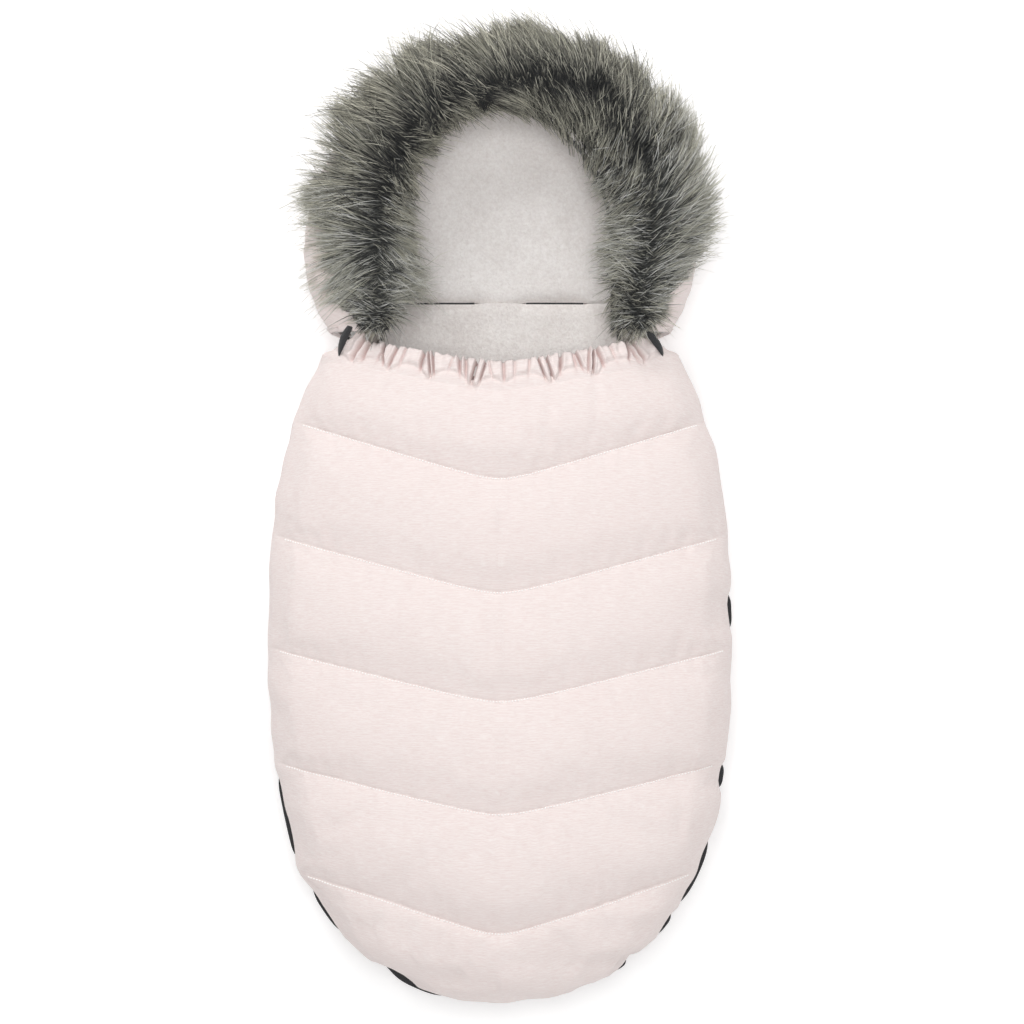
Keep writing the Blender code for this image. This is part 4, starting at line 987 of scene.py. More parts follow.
def hem_folds(across, back):
    """Depth of the creases and height of the puffs between them, and where the elastic's line lies."""
    crease, ridge, pinch = np.zeros_like(across), np.zeros_like(across), np.zeros_like(across)
    for number, (place, depth) in enumerate(HEM_CREASES + HEM_PINCHES):
        lean = 1.6 * math.sin(2.3 * number)
        width = 0.0075 + 0.0020 * math.cos(1.7 * number)
        off = across - place - lean * (back - 0.006)
        crease += depth * np.exp(-np.abs(off / width) ** 1.6)
        ridge += depth * np.exp(-(((np.abs(off) - 2.4 * width) / (1.2 * width)) ** 2))
    for place, depth in HEM_PINCHES:
        pinch += depth * np.exp(-np.abs((across - place) / 0.050) ** 1.4)
    ripple = 0.35 * soft_noise(across * 0.165, back, 0.011, 41)
    return np.clip(crease, 0, 1.4), 0.7 + ripple + 0.35 * ridge, 0.0070 - 0.0115 * np.clip(pinch, 0, 1)


def ease(x, start, end):
    """A smooth step from 0 at start to 1 at end."""
    x = np.clip((x - start) / (end - start), 0, 1)
    return x * x * (3 - 2 * x)


def free_share(v):
    """From 0 where the band leaves the cover to 1 at its free edge."""
    return np.clip((v - HEM_LAP_SHARE) / (1 - HEM_LAP_SHARE), 0, 1)


def hem_painted_crease_shade(u, v):
    """How much painted shade darkens the cloth deep in a crease."""
    crease, _, _ = hem_folds(HEM_SPAN * (u - 0.5), HEM_DEEP * free_share(v))
    return 0.75 * np.clip(crease, 0, 1) * ease(v, HEM_LAP_SHARE - 0.10, HEM_LAP_SHARE + 0.15)


def hem_place(u, v):
    """The band: lapped on the cover (v up to HEM_LAP_SHARE), and from there free up to its folded edge."""
    across = HEM_SPAN * (u - 0.5)
    end_cut = np.clip((1 - np.abs(across)) / 0.16, 0.03, 1) ** 0.85
    end_cut = end_cut + 0.50 * np.exp(-(((np.abs(across) - 0.86) / 0.038) ** 2))
    w = free_share(v)
    crease, puff, _ = hem_folds(across, HEM_DEEP + 0 * v)
    top = (HEM_DEEP + 0.0020 * puff - 0.0035 * np.clip(crease, 0, 1)) * end_cut
    back = np.where(v < HEM_LAP_SHARE, -HEM_LAP * (1 - v / HEM_LAP_SHARE), top * w)
    crease, puff, elastic_line = hem_folds(across, back)
    row = 0.0660 + 0.0240 * seam_dip(across)
    covered = puffed(across, np.clip(-back / row, 0.07, 1)) - 0.0008 * np.exp(-((v / 0.05) ** 2))
    above = ease(back - elastic_line, -0.0020, 0.0050)
    valley = 0.0013 * np.exp(-(((back - elastic_line) / 0.0019) ** 2))
    folds = above * (0.0030 * puff - 0.0085 * crease) - valley
    free = 0.0042 - 0.0016 * w - 0.0022 * np.clip((w - 0.85) / 0.15, 0, 1) ** 2
    share = ease(v, 0.0, HEM_LAP_SHARE + 0.10)
    return hem_points(across, back, covered * (1 - share) + free * share + folds * ease(v, 0.0, 0.12))


hem = cloth_grid("gathered_hem", HEM_COLUMNS, HEM_ROWS, hem_place)
# Painted shade: each point of the hem keeps, in the attribute fold, how dark its crease is painted.
painted_crease_shade = hem.data.attributes.new("fold", "FLOAT", "POINT")
painted_crease_shade.data.foreach_set("value", hem_painted_crease_shade(*grid_shares(HEM_COLUMNS, HEM_ROWS)).astype(np.float32))
facing(hem, (0, 0, 1))
spread(hem)
wrap_map(hem, COVER_TOP_Z)
thicken(hem, 0.0011)
hem_cloth = heather_cloth("hem_cloth")
hem_tree, hem_shader = hem_cloth.node_tree, hem_cloth.node_tree.nodes["Principled BSDF"]
painted_crease_shade_factor = node(hem_tree, "ShaderNodeAttribute", attribute_name="fold").outputs["Fac"]
hem_plain = hem_shader.inputs["Base Color"].links[0].from_socket
# The hem's cloth is mixed towards a darker pink by that attribute: painted shade deep in each crease.
colour_by(hem_tree, hem_shader, painted_crease_shade_factor, hem_plain, (0.62, 0.46, 0.44))
dress(hem, hem_cloth, "cover", "pink_melange", "cover_hem_band")

elastic, elastic_tree, elastic_shader = new_material("white_elastic", (0.80, 0.80, 0.78), 0.8)
elastic_ribs = wave(elastic_tree, object_place(elastic_tree), 420.0, 0.4, "X")
colour_by(elastic_tree, elastic_shader, elastic_ribs, (0.62, 0.61, 0.59), (0.86, 0.86, 0.84))
bump(elastic_tree, elastic_shader, elastic_ribs, 0.5, 0.0004)
wear("cover_hem_elastic", elastic)

# Hood.
# A deep hood is sewn to the neck seam: outer cloth over wadding and plush, its edge drawn in to a rim
# with a cord. It folds back over the shoulders about the neck seam.
HOOD_R, HOOD_Y, CHEEK_Y, HOOD_TOP = 0.1920, 0.2500, 0.1710, 0.1120
RIM_HALF, RIM_CROWN, CHEEK_R = 0.1200, 0.1480, 0.1298
CHEEK_RUN = HOOD_Y - CHEEK_Y
RING_RUN = 2 * CHEEK_RUN + math.pi * HOOD_R
WALL_SECTION = (
    (0.70, 0.02), (0.91, 0.13), (1.0, 0.40), (0.96, 0.69),
    (0.80, 0.90), (0.5, 1.0), (0.22, 1.0), (0.0, 0.95),
)


def smooth_line(points, count):
    """A rounded line through points, read at count even steps."""
    p = np.array([points[0], *points, points[-1]], float)
    at = np.linspace(0, len(points) - 1, count)
    i = np.minimum(at.astype(int), len(points) - 2)
    t = (at - i)[:, None]
    a, b, c, d = p[i], p[i + 1], p[i + 2], p[i + 3]
    return 0.5 * (2 * b + (c - a) * t + (2 * a - 5 * b + 4 * c - d) * t**2 + (3 * b - a - 3 * c + d) * t**3)


WALL_LINE = smooth_line(WALL_SECTION, 201)


def rim_reach(turn):
    """How far the hood's oval rim lies from its centre."""
    return 1 / np.hypot(np.cos(turn) / RIM_HALF, np.sin(turn) / RIM_CROWN)


def hood_ring(u):
    """Round the hood from the right cheek (0) to the left one (1): centre, direction, reach and rim."""
    run = np.clip(u, 0, 1) * RING_RUN
    turn = np.clip((run - CHEEK_RUN) / HOOD_R, 0, math.pi)
    y = CHEEK_Y + np.minimum(np.minimum(run, RING_RUN - run), CHEEK_RUN)
    reach = HOOD_R - CHEEK_R + np.sqrt(CHEEK_R**2 - (HOOD_Y - y) ** 2)
    return y, np.cos(turn), np.sin(turn), reach, rim_reach(turn)


def ring_points(u, out, z):
    """Places round the hood, a distance out from its centre and at a height."""
    y, way_x, way_y, _, _ = hood_ring(u)
    return np.stack([way_x * out, y + way_y * out, z + 0 * out], -1)


def hood_wall(u, w, depth):
    """Places on the hood's wall from its foot (w 0) to its rim (w 1), moved inwards by depth."""
    _, _, _, reach, rim = hood_ring(u)
    at = np.linspace(0, 1, len(WALL_LINE))
    rise_out = np.interp(w, at, np.gradient(WALL_LINE[:, 0])) * (reach - rim)
    rise_z = np.interp(w, at, np.gradient(WALL_LINE[:, 1])) * HOOD_TOP
    size = np.hypot(rise_out, rise_z)
    out = rim + (reach - rim) * np.interp(w, at, WALL_LINE[:, 0]) - rise_z / size * depth
    return ring_points(u, out, HOOD_TOP * np.interp(w, at, WALL_LINE[:, 1]) + rise_out / size * depth)


def hood_shell_place(u, v):
    """The hood's outer cloth, a little gathered towards its rim."""
    gather = 0.0012 * (0.3 + 0.7 * v**2) * soft_noise(u * RING_RUN, v * 0.04, 0.020, 51)
    return hood_wall(u, 0.004 + 0.992 * v, 0.0006 - gather * np.sin(math.pi * np.clip(v, 0, 1)) ** 0.5)


hood_cloth = heather_cloth("hood_cloth")
hood_shell = cloth_grid("hood_outer_cloth", 460, 30, hood_shell_place)
facing(hood_shell, (0, 0, 1))
wrap_map(hood_shell, HOOD_TOP, np.array([0.0, HOOD_Y]))
thicken(hood_shell, 0.0011)
dress(hood_shell, hood_cloth, "hood", "pink_melange", "hood_wall_shell")
wear("hood_back_panel", heather_cloth("hood_back_cloth", map_name=None))


def hood_plush_place(u, v):
    """Round the section of the hood's padding: up its outer face, over the rim and down inside."""
    turn = math.tau * v
    inside = np.cos(turn) < 0
    soft = 0.0016 * soft_noise(u * RING_RUN, np.sin(turn) * 0.03, 0.045, 53) * inside
    u = 0.0006 + 0.9988 * u
    depth = 0.0064 - 0.0042 * squared(np.cos(turn), 0.4) + soft
    return hood_wall(u, 0.5 + 0.485 * squared(np.sin(turn), 0.4), depth)


# The hood's plush is painted lighter than the back's: painted light that offsets the shade inside the hood's
# bowl.
hood_plush_painted_lighter = plush("hood_plush_painted_lighter", (0.990, 0.955, 0.932), (0.840, 0.790, 0.765))
hood_pad = cloth_grid("hood_wall_plush", 360, 40, hood_plush_place)
close_tube(hood_pad)
dress(hood_pad, hood_plush_painted_lighter, "hood", "grey_plush", "hood_wall_padding", "hood_wall_lining")

HOOD_FLOOR_TOP = 0.4190
# The cushion's foot is cut away this high beside the seam, where the hood folds against the seam's tape.
FOOT_Z, FOOT_REACH = 0.0033, 0.0020
floor_ring = np.linspace(0, 0.5, 400)
floor_y, floor_x, floor_way, floor_reach, floor_rim = hood_ring(floor_ring)
floor_out = floor_rim + (floor_reach - floor_rim) * 0.70 - 0.0100
FLOOR_LINE = np.stack([floor_y + floor_way * floor_out, floor_x * floor_out], 1)


def hood_floor_place(u, v):
    """The hood's plush back: rows from the neck seam to the crown."""
    low = SEAM_Y + 0.0001
    y = low + (HOOD_FLOOR_TOP - low) * (1 - (1 - v) ** 1.6)
    half = np.minimum(np.interp(y, FLOOR_LINE[:, 0], FLOOR_LINE[:, 1]), NECK_HALF + 1.5 * (y - low))
    x = np.maximum(half, 0.004) * np.sin(math.pi / 2 * (2 * u - 1))
    edge = np.minimum(half - np.abs(x), (HOOD_FLOOR_TOP - y) * 1.2)
    y, z = cushion_face(x, y, edge, 1, 0.012, 0.0018 * soft_noise(x, y, 0.10, 7))
    return np.stack([x, y, z], 1)


hood_floor = cloth_grid("hood_back_cushion", 80, 70, hood_floor_place)
facing(hood_floor, (0, 0, 1))
pad_down(hood_floor, CUSHION_LOW)
corners = read_points(hood_floor).copy()
foot = (corners[:, 2] < CUSHION_LOW + 0.0001) & (corners[:, 1] < SEAM_Y + FOOT_REACH)
corners[foot, 2] = FOOT_Z
put_points(hood_floor, corners)
dress(hood_floor, hood_plush_painted_lighter, "hood", "grey_plush", "hood_back_lining", "hood_back_padding")

# Rim and draw cord.
# The hood's edge is gathered on a cord that runs in a narrow channel; its two ends come out at the
# cheeks. A black band of zip tape is folded over each zip's top end and runs in under the fur; these
# bands are made further on, with the trims at the cheeks.
CHANNEL_R, CHANNEL_OPEN, CHANNEL_Z = 0.0056, math.radians(40), 0.1013


def rim_place(u, v):
    """Round the section of the finely gathered channel, open where the hood's cloth runs into it."""
    _, _, _, _, rim = hood_ring(u)
    turn = CHANNEL_OPEN + (math.tau - 2 * CHANNEL_OPEN) * v
    gather = 0.0007 * np.sin(u * RING_RUN / 0.0011 + 2.0 * soft_noise(u * RING_RUN, 0 * u, 0.03, 61))
    radius = CHANNEL_R - 0.0008 + gather
    out = rim - CHANNEL_R * math.cos(CHANNEL_OPEN) - 0.0003 + radius * np.cos(turn)
    return ring_points(u, out, CHANNEL_Z + radius * np.sin(turn))


rim_channel = cloth_grid("hood_rim_channel_cloth", 1100, 14, rim_place)
map_cloth(rim_channel, read_points(rim_channel)[:, :2])
dress(rim_channel, hood_plush_painted_lighter, "hood", "grey_plush", "hood_rim_channel")

CORD_TAIL, CORD_R = 0.0085, 0.0022


def cord_place(u, v):
    """Round the section of the cord, which runs on straight past both ends of the channel."""
    whole = RING_RUN + 2 * CORD_TAIL
    run = u * whole - CORD_TAIL
    past = np.maximum(np.maximum(-run, run - RING_RUN), 0)
    ring = np.clip(run / RING_RUN, 0, 1)
    _, _, _, _, rim = hood_ring(ring)
    turn = math.tau * v
    points = ring_points(ring, rim - 0.0053 + CORD_R * np.cos(turn), CHANNEL_Z + CORD_R * np.sin(turn))
    points[:, 1] -= past
    return points


cord_yarn, cord_tree, cord_shader = new_material("braided_cord", (0.09, 0.085, 0.08), 0.7, 0.2)
braid = cells(cord_tree, object_place(cord_tree), 900.0)
colour_by(cord_tree, cord_shader, braid, (0.13, 0.125, 0.118), (0.035, 0.033, 0.031))
bump(cord_tree, cord_shader, braid, 0.6, 0.0004)
draw_cord = cloth_grid("hood_draw_cord_braid", 500, 12, cord_place)
close_tube(draw_cord)
dress(draw_cord, cord_yarn, "hood", "grey_cord", "hood_draw_cord")

# Fur trim.
# Long grey fur is sewn over the hood's edge. Its strands part along a dark line: the outer ones are
# combed outwards over the hood, the inner ones droop into its mouth, and tips gather into locks.
FUR_R, FUR_LOW_Y = 0.170, 0.173
FUR_CHEEK = HOOD_Y - FUR_LOW_Y
FUR_RUN = 2 * FUR_CHEEK + math.pi * FUR_R
ARC = math.pi * FUR_R / 6
FUR_STOPS = [0, 0.030, *(FUR_CHEEK + ARC * i for i in range(7)), FUR_RUN - 0.030, FUR_RUN]
PARTING = (0.130, 0.134, 0.145, 0.165, 0.176, 0.150, 0.142, 0.125, 0.111, 0.111, 0.110)
INNER_TIP = (0.104, 0.098, 0.090, 0.113, 0.127, 0.131, 0.115, 0.082, 0.060, 0.062, 0.101)
OUTER_TIP = (0.156, 0.184, 0.216, 0.234, 0.233, 0.228, 0.226, 0.217, 0.195, 0.178, 0.156)
OUTER_SWAY = (-0.006, 0.006, 0.020, 0.024, 0.014, 0.018, 0.012, 0.006, 0.006, 0.006, 0.010)
INNER_SWAY = (-0.016, 0.008, 0.002, -0.012, -0.034, -0.030, -0.018, 0.002, 0.010, 0.010, 0.012)
FUR_TONE = (0.16, 0.56, 0.92, 0.40, -0.80, -1.30, -1.30, 0.04, 0.98, 0.96, 0.36)


def fur_table(values, run):
    """Reads a table given at the stops round the hood, smoothed between them."""
    line = smooth_line(list(zip(FUR_STOPS, values)), 401)
    return np.interp(run, line[:, 0], line[:, 1])


def fur_points(run, out, z):
    """Places at a run round the fur from the right cheek's end, a distance out and a height."""
    turn = np.clip((run - FUR_CHEEK) / FUR_R, 0, math.pi)
    y = FUR_LOW_Y + np.minimum(np.minimum(run, FUR_RUN - run), FUR_CHEEK)
    return np.stack([np.cos(turn) * out, y + np.sin(turn) * out, z], -1)


def fur_parting(inner, run):
    """Where the parting lies, how far the wool reaches from it, and how far the tips do."""
    parting = fur_table(PARTING, run) + 0.005 * soft_noise(run, 0 * run, 0.07, 71)
    parting += 0.003 * soft_noise(run, 0 * run, 0.02, 72)
    tip_out = fur_table(INNER_TIP if inner else OUTER_TIP, run)
    if inner:
        rim = rim_reach(np.clip((run - FUR_CHEEK) / FUR_R, 0, math.pi))
        wide = np.maximum((parting - tip_out) * 0.42, parting - rim + 0.013)
    else:
        wide = (tip_out - parting) * 0.56
    return parting, wide, tip_out


WOOL_Z, WOOL_DROP = 0.1165, 0.024
SHORT_LENGTHS, LONG_LENGTHS, STRAY_SHARE = (0.26, 0.62), (0.62, 1.08), 0.08
LOCK_LONG, LOCK_WIDE, STRANDS_IN_LOCK, LOCK_BATCH = 0.0045, 0.14, 12, 1000
PALE_TONES, DARK_TONES = (0.72, 1.0), (0, 0.42)
# For the outer and the inner strands: how soon roots thin out, share of short ones, loss of length
# away from the parting, reach past the table's tips, and droop.
COMBED = {
    False: {"thinning": 2.0, "short": 0.34, "loss": 0.36, "past": 0.010, "droop": 0.026},
    True: {"thinning": 1.6, "short": 0.42, "loss": 0.30, "past": 0.012, "droop": 0.020},
}


def nearest_lock(run, back, locks):
    """Which lock each strand belongs to: the nearest one along the fur and across it."""
    nearest = np.empty(len(run), int)
    for start in range(0, len(run), LOCK_BATCH):
        here = slice(start, start + LOCK_BATCH)
        along = (run[here, None] - locks[None, :, 0]) / LOCK_LONG
        across = (back[here, None] - locks[None, :, 1]) / LOCK_WIDE
        nearest[here] = (along**2 + across**2).argmin(1)
    return nearest


def fur_strands(inner, low, high, count, seed):
    """Root, bend and tip of strands between two runs, each as run, distance out and height; and tone."""
    chance = np.random.default_rng(seed)
    combed, way = COMBED[inner], -1 if inner else 1
    run = chance.uniform(low, high, count)
    parting, wide, tip_out = fur_parting(inner, run)
    whole = np.abs(tip_out - parting)
    back = chance.beta(0.9, combed["thinning"], count)
    root_out = parting + way * (back * wide * 0.97 - 0.015 * chance.random(count) ** 1.5)
    root_z = WOOL_Z + 0.0100 * (1 - back**2) ** 0.4 - WOOL_DROP * back**2
    flow = 1 + 0.15 * soft_noise(run, root_out, 0.045, 73)
    short = chance.random(count) < combed["short"]
    length = np.where(short, chance.uniform(*SHORT_LENGTHS, count), chance.uniform(*LONG_LENGTHS, count))
    length *= whole * flow * (1 - combed["loss"] * back)
    stray = chance.random(count) < STRAY_SHARE
    length *= np.where(stray, 1.12, 1)
    end_out = root_out + way * np.minimum(length, way * (tip_out - root_out) + combed["past"])
    sway = fur_table(INNER_SWAY if inner else OUTER_SWAY, run)
    sway += 0.015 * soft_noise(run, root_out, 0.06, 75 + inner)
    sway += 0.006 * soft_noise(run, root_out, 0.022, 77) + np.where(stray, chance.normal(0, 0.014, count), 0)
    sway += np.where(short, chance.normal(0, 0.008, count), 0)
    end_run = run + sway * (0.5 + 0.7 * length / whole) + chance.normal(0, 0.0036, count)
    droop = combed["droop"] * np.where(short, 0.2, 1) + 0.010 * back
    end_z = root_z - droop + chance.normal(0, 0.006, count)
    at_left, at_right = np.clip(1 - (FUR_RUN - run) / 0.016, 0, 1), np.clip(1 - run / 0.016, 0, 1)
    end_run += 0.010 * chance.random(count) * at_left
    first = -0.008 - 0.008 * chance.random(count)
    last = FUR_RUN + 0.014 + 0.010 * chance.random(count)
    end_run = np.clip(end_run, first, last)
    end_out = root_out + (end_out - root_out) * (1 - 0.45 * at_left - 0.3 * at_right)
    lock_count = count // STRANDS_IN_LOCK
    locks = np.stack([chance.uniform(low, high, lock_count), chance.random(lock_count) ** 1.3], 1)
    nearest = nearest_lock(run, back, locks)
    members = np.bincount(nearest, minlength=len(locks)).clip(1)
    draw = chance.uniform(0.55, 0.96, len(locks))[nearest] * np.where(stray | short, 0.15, 1)
    end_run += chance.normal(0, 0.0050, len(locks))[nearest]
    for values in (end_run, end_out, end_z):
        middle = np.bincount(nearest, values, len(locks)) / members
        values += (middle[nearest] - values) * draw
    lift = chance.uniform(0.008, 0.022, count) * np.where(back < 0.25, 1.15, 0.8)
    bend_out = root_out + (end_out - root_out) * 0.38
    bend_run = run + (end_run - run) * chance.uniform(0.05, 0.30, count)
    bend_z = np.minimum(root_z + lift, 0.150)
    lock_tone = chance.random(len(locks))[nearest]
    pale_share = 0.18 + 0.9 * fur_table(FUR_TONE, run) + 0.50 * back + 0.60 * (lock_tone - 0.5)
    pale_share += 0.16 * soft_noise(run, root_out, 0.03, 79) - 0.12 * short
    is_pale = chance.random(count) < pale_share
    pale_tone, dark_tone = chance.uniform(*PALE_TONES, count), chance.uniform(*DARK_TONES, count)
    tone = np.where(is_pale, pale_tone, dark_tone) * (0.84 + 0.16 * lock_tone)
    return (run, root_out, root_z), (bend_run, bend_out, bend_z), (end_run, end_out, end_z), tone


STRAND_SIDES, STRAND_RINGS, STRAND_HALF_THICK = 3, 6, 0.00038


def strand_faces():
    """The corners of the faces round one strand, and the ring that each corner is on."""
    faces, rings = [], []
    for row in range(STRAND_RINGS - 1):
        for k in range(STRAND_SIDES):
            a, b = row * STRAND_SIDES + k, row * STRAND_SIDES + (k + 1) % STRAND_SIDES
            faces.append((a, b, b + STRAND_SIDES, a + STRAND_SIDES))
            rings.append((row, row, row + 1, row + 1))
    return np.array(faces), np.array(rings)


def fur_piece(name, batches):
    """One mesh of curved, tapering strands. Its map OFBake has the tone across and root to tip along."""
    root, bend, end = (np.concatenate([np.stack(batch[i], 1) for batch in batches]) for i in range(3))
    tone = np.concatenate([batch[3] for batch in batches])
    count = len(root)
    t = (np.linspace(0, 1, STRAND_RINGS) ** 0.9)[None, :, None]
    line = root[:, None] * (1 - t) ** 2 + bend[:, None] * 2 * t * (1 - t) + end[:, None] * t**2
    spine = fur_points(line[..., 0], line[..., 1], line[..., 2])
    along = np.gradient(spine, axis=1)
    along /= np.linalg.norm(along, axis=2, keepdims=True)
    side = np.cross(along, [0, 0, 1])
    side /= np.maximum(np.linalg.norm(side, axis=2, keepdims=True), 1e-6)
    over = np.cross(side, along)
    turn = math.tau * np.arange(STRAND_SIDES) / STRAND_SIDES + math.pi / 2
    radius = STRAND_HALF_THICK * (1 - 0.68 * np.linspace(0, 1, STRAND_RINGS) ** 2.0)[None, :, None, None]
    round_it = side[:, :, None] * np.cos(turn)[:, None] + over[:, :, None] * np.sin(turn)[:, None]
    ring = spine[:, :, None] + radius * round_it
    per_strand = STRAND_RINGS * STRAND_SIDES
    faces, rings = strand_faces()
    quads = (faces[None] + per_strand * np.arange(count)[:, None, None]).reshape(-1, 4)
    mesh = bpy.data.meshes.new(name)
    mesh.vertices.add(count * per_strand)
    mesh.vertices.foreach_set("co", ring.ravel())
    mesh.loops.add(quads.size)
    mesh.loops.foreach_set("vertex_index", quads.ravel())
    mesh.polygons.add(len(quads))
    mesh.polygons.foreach_set("loop_start", np.arange(0, quads.size, 4))
    mesh.update(calc_edges=True)
    layer = mesh.uv_layers.new(name="OFBake")
    shift = np.repeat(np.random.default_rng(99).uniform(-0.16, 0.16, count), faces.size)
    v = np.tile(rings.ravel() / (STRAND_RINGS - 1) * 0.96 + 0.02, count)
    v = np.clip(v + shift, 0.02, 0.98)
    u = np.repeat(0.02 + 0.96 * tone, faces.size)
    layer.uv.foreach_set("vector", np.stack([u, v], 1).astype(np.float32).ravel())
    piece = bpy.data.objects.new(name, mesh)
    bpy.context.collection.objects.link(piece)
    return piece


fur, fur_tree, fur_shader = new_material("long_fur", (0.14, 0.14, 0.13), 0.60, 0.04)
fur_map = node(fur_tree, "ShaderNodeUVMap", uv_map="OFBake")
fur_split = node(fur_tree, "ShaderNodeSeparateXYZ", {"Vector": fur_map.outputs["UV"]})
pale = node(fur_tree, "ShaderNodeValToRGB", {"Fac": fur_split.outputs["X"]})
for spot, colour in (
    (0.0, (0.007, 0.008, 0.009)),
    (0.45, (0.024, 0.027, 0.026)),
    (0.68, (0.56, 0.55, 0.45)),
    (1.0, (1.0, 0.97, 0.81)),
):
    stop = pale.color_ramp.elements[int(spot)] if spot in (0.0, 1.0) else pale.color_ramp.elements.new(spot)
    stop.color = (*colour, 1)
dark = mix(fur_tree, fur_split.outputs["X"], (0.005, 0.006, 0.007), (0.050, 0.053, 0.049))
tip_share = ramp(fur_tree, fur_split.outputs["Y"], from_min=0.34, from_max=0.74)
colour_by(fur_tree, fur_shader, tip_share, dark, pale.outputs["Color"])

FUR_TUFTS, FUR_OUTER_STRANDS, FUR_INNER_STRANDS = 8, 3300, 1650
for number in range(FUR_TUFTS):
    low, high = FUR_RUN * number / FUR_TUFTS, FUR_RUN * (number + 1) / FUR_TUFTS
    outer = fur_strands(False, low, high, FUR_OUTER_STRANDS, 80 + number)
    inner = fur_strands(True, low, high, FUR_INNER_STRANDS, 90 + number)
    tuft = fur_piece(f"fur_{number + 1}", (outer, inner))
    dress(tuft, fur, "hood", "fur")


def undercoat_place(u, v):
    """Round the section of the dense short wool that the long strands stand in."""
    run = u * FUR_RUN
    turn = math.tau * v
    parting, outer_wide, _ = fur_parting(False, run)
    _, inner_wide, _ = fur_parting(True, run)
    wide = np.where(np.cos(turn) > 0, outer_wide, inner_wide)
    rise = squared(np.sin(turn), 0.7)
    out = parting + wide * np.cos(turn)
    z = WOOL_Z + 0.0115 * rise - WOOL_DROP * np.cos(turn) ** 2
    z += 0.0022 * soft_noise(run, out, 0.012, 99) * (rise > 0)
    return fur_points(run, out, z)


undercoat = cloth_grid("fur_undercoat", 420, 40, undercoat_place)
close_tube(undercoat)
wool, wool_tree, wool_shader = new_material("fur_wool", (0.045, 0.047, 0.047), 0.9, 0.3)
wool_grain = noise(wool_tree, object_place(wool_tree), 500.0, 4.0)
colour_by(wool_tree, wool_shader, wool_grain, (0.018, 0.019, 0.020), (0.085, 0.088, 0.085))
bump(wool_tree, wool_shader, wool_grain, 0.9, 0.002)
dress(undercoat, wool, "hood", "fur", "fur_pile", "fur_band")

# Zip hardware and trims at the cheeks.
# Enamelled sliders and pulls run on the zips. A black band of tape folds over each zip's top end, a
# gusset joins the back's wall to the hood at each cheek, and plush side panels line it inside.
enamel, enamel_tree, enamel_shader = new_material("black_enamel", (0.022, 0.022, 0.024), 0.34)
enamel_place = object_place(enamel_tree)
rubbed = noise(enamel_tree, enamel_place, 220.0, 5.0)
colour_by(enamel_tree, enamel_shader, rubbed, (0.013, 0.013, 0.014), (0.040, 0.040, 0.043))
enamel_tree.links.new(ramp(enamel_tree, rubbed, to_min=0.22, to_max=0.50), enamel_shader.inputs["Roughness"])
bump(enamel_tree, enamel_shader, noise(enamel_tree, enamel_place, 900.0, 2.0, Distortion=1.5), 0.15, 0.0001)
for word in ("left", "right"):
    for name in ("slider", "pull", "zip_back_stop", "zip_cover_stop"):
        wear(f"{name}_{word}", enamel)


def cheek_line(points, v):
    """Places along a smooth line through a few points, v from 0 to 1."""
    line = smooth_line(points, 101)
    at = np.linspace(0, 1, len(line))
    return np.stack([np.interp(v, at, line[:, i]) for i in range(3)], -1)


ZIP_END_LINES = {
    "left": (
        (0.1555, 0.1475, 0.1015),
        (0.1532, 0.1560, 0.1085),
        (0.1490, 0.1660, 0.1160),
        (0.1435, 0.1750, 0.1220),
    ),
    "right": (
        (0.1575, 0.1470, 0.1000),
        (0.1540, 0.1545, 0.1065),
        (0.1480, 0.1630, 0.1125),
        (0.1410, 0.1710, 0.1175),
    ),
}


def make_zip_end(side, word):
    """The zip's top end under its folded band, narrow at the corner and wider under the fur."""

    def band_place(u, v):
        middle = cheek_line(ZIP_END_LINES[word], v)
        wide = 0.0004 + 0.0030 * np.sin(math.pi * np.minimum(v / 1.3, 1))
        s = 2 * u - 1
        points = middle + np.stack([wide * s, 0.45 * wide * s, 0.0020 * (1 - s**2) - 0.0012 * s], -1)
        points[:, 0] *= side
        return points

    band = cloth_grid(f"zip_end_band_{word}", 10, 30, band_place)
    facing(band, (0, 0, 1))
    thicken(band, 0.0010)
    dress(band, woven, "cover", "black_tape")


def make_gusset(side, word):
    """Outer cloth from the end of the back's wall up to the hood's cheek."""

    def gusset_place(u, v):
        run = np.full_like(u, (ZIP_RUN - 0.0030) * side)
        x, y = zip_line(run, wall_outset(u))
        low = np.stack([x, y, 0.0005 + 0.0480 * u], -1)
        ring = np.full_like(u, 0.006 if side > 0 else 0.994)
        high = hood_wall(ring, 0.01 + 0.60 * u, -0.0010)
        swell = np.sin(math.pi * v)[:, None] * np.array([0.0040 * side, 0, 0])
        crease = 0.0012 * np.sin(math.pi * v) * soft_noise(u * 0.08, v * 0.02, 0.016, 111)
        return low + (high - low) * v[:, None] + swell + np.stack([side * crease, 0 * u, 0 * u], -1)

    gusset = cloth_grid(f"cheek_gusset_{word}", 40, 16, gusset_place)
    facing(gusset, (side, 0, 0))
    wrap_map(gusset, 0.05)
    thicken(gusset, 0.0010)
    dress(gusset, hood_cloth, None, "pink_melange")
    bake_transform(gusset)


# Painted shade: black strips along the lips of each shoulder slot, so that the slit looks dark.
SLOT_SHADE_HALF, SLOT_SHADE_THICK, SLOT_SHADE_Z = 0.0284, 0.0005, (0.0020, 0.0080)


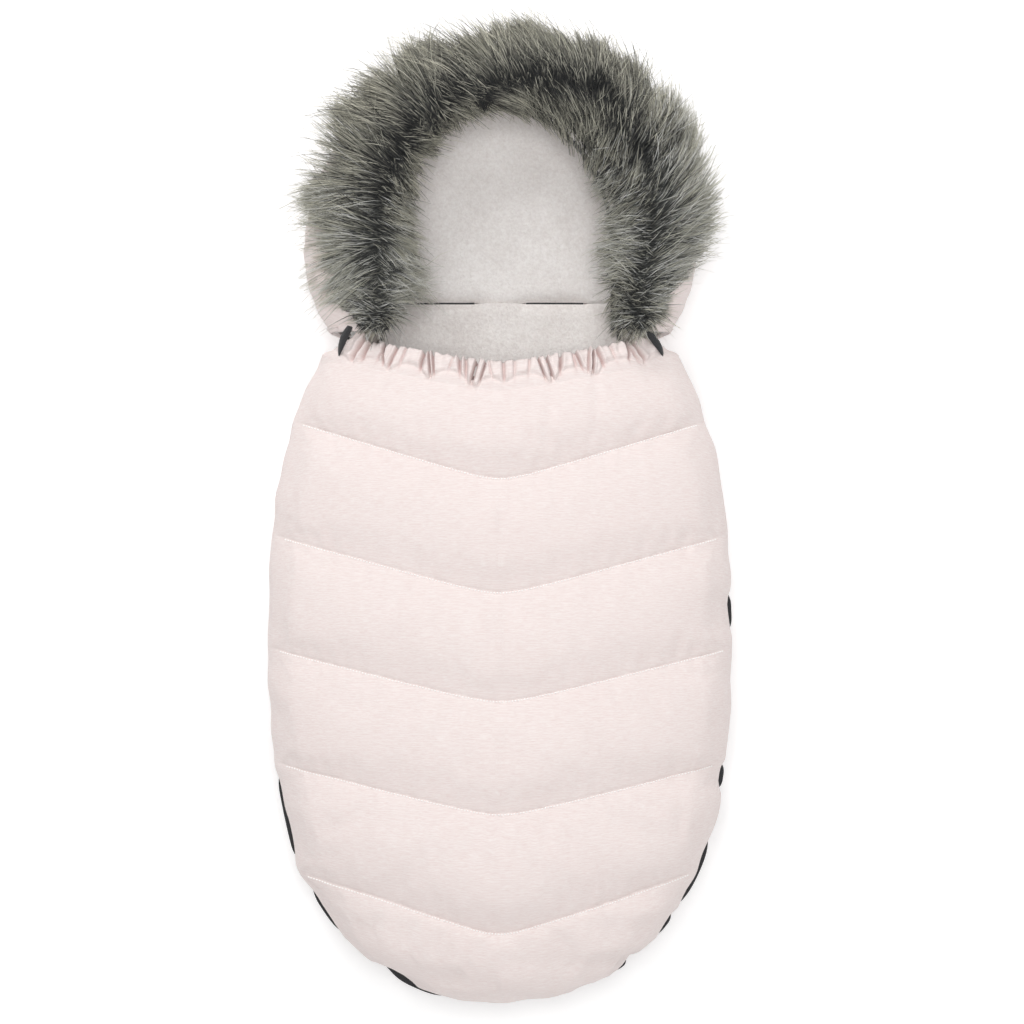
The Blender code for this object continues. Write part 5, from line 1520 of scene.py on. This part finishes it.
def make_slot_shade_strip(name, body, middle, low_y):
    """A thin black strip along one lip of a shoulder slot: painted shade for the dark inside of the slit."""
    low = (middle - SLOT_SHADE_HALF, low_y, SLOT_SHADE_Z[0])
    high = (middle + SLOT_SHADE_HALF, low_y + SLOT_SHADE_THICK, SLOT_SHADE_Z[1])
    edge = box_piece(name, low, high, 0.0001)
    dress(edge, woven, body, "black_tape")


PANEL_TOP_X, PANEL_FOOT_Z = 0.119, 0.0172


def make_side_panel(side, word, foot_x, lean):
    """Plush at the inside of the cheek, seamed to the back's cushion along its foot."""

    def panel_place(u, v):
        y = 0.146 + 0.052 * v
        foot_at = foot_x - lean * v
        top_z = 0.020 + 0.012 * np.maximum(np.sin(math.pi * v), 0) ** 0.6
        bend_x, bend_z = foot_at + 0.40 * (PANEL_TOP_X - foot_at), PANEL_FOOT_Z + 0.3 * (top_z - PANEL_FOOT_Z)
        top = np.stack([0 * u + PANEL_TOP_X, y, top_z], -1)
        foot = np.stack([foot_at + 0.0015 * np.sin(math.pi * v), y, 0 * u + PANEL_FOOT_Z], -1)
        bend = np.stack([bend_x, y, bend_z], -1)
        s = u[:, None]
        points = foot * (1 - s) ** 2 + bend * 2 * s * (1 - s) + top * s**2
        points[:, 2] += 0.0012 * np.sin(math.pi * u) * soft_noise(u * 0.1, y, 0.03, 113)
        points[:, 0] *= side
        return points

    panel = cloth_grid(f"side_panel_{word}", 40, 30, panel_place)
    facing(panel, (-side, 0, 1))
    thicken(panel, 0.0020)
    dress(panel, hood_plush_painted_lighter, "back", "grey_plush")


# The sides, with where each plush panel's foot lies and how far it leans in towards the neck.
SIDES = ((-1, "left", 0.0985, 0.0100), (1, "right", 0.1160, 0.0010))
for side, word, foot_x, lean in SIDES:
    make_zip_end(side, word)
    make_gusset(side, word)
    make_side_panel(side, word, foot_x, lean)
    # The black strips in the shoulder slots are painted shade.
    make_slot_shade_strip(f"slot_shade_strip_low_{word}", "back", side * SLOT_X, SEAM_Y - 0.0007)
    make_slot_shade_strip(f"slot_shade_strip_high_{word}", "hood", side * SLOT_X, SEAM_Y + 0.0002)
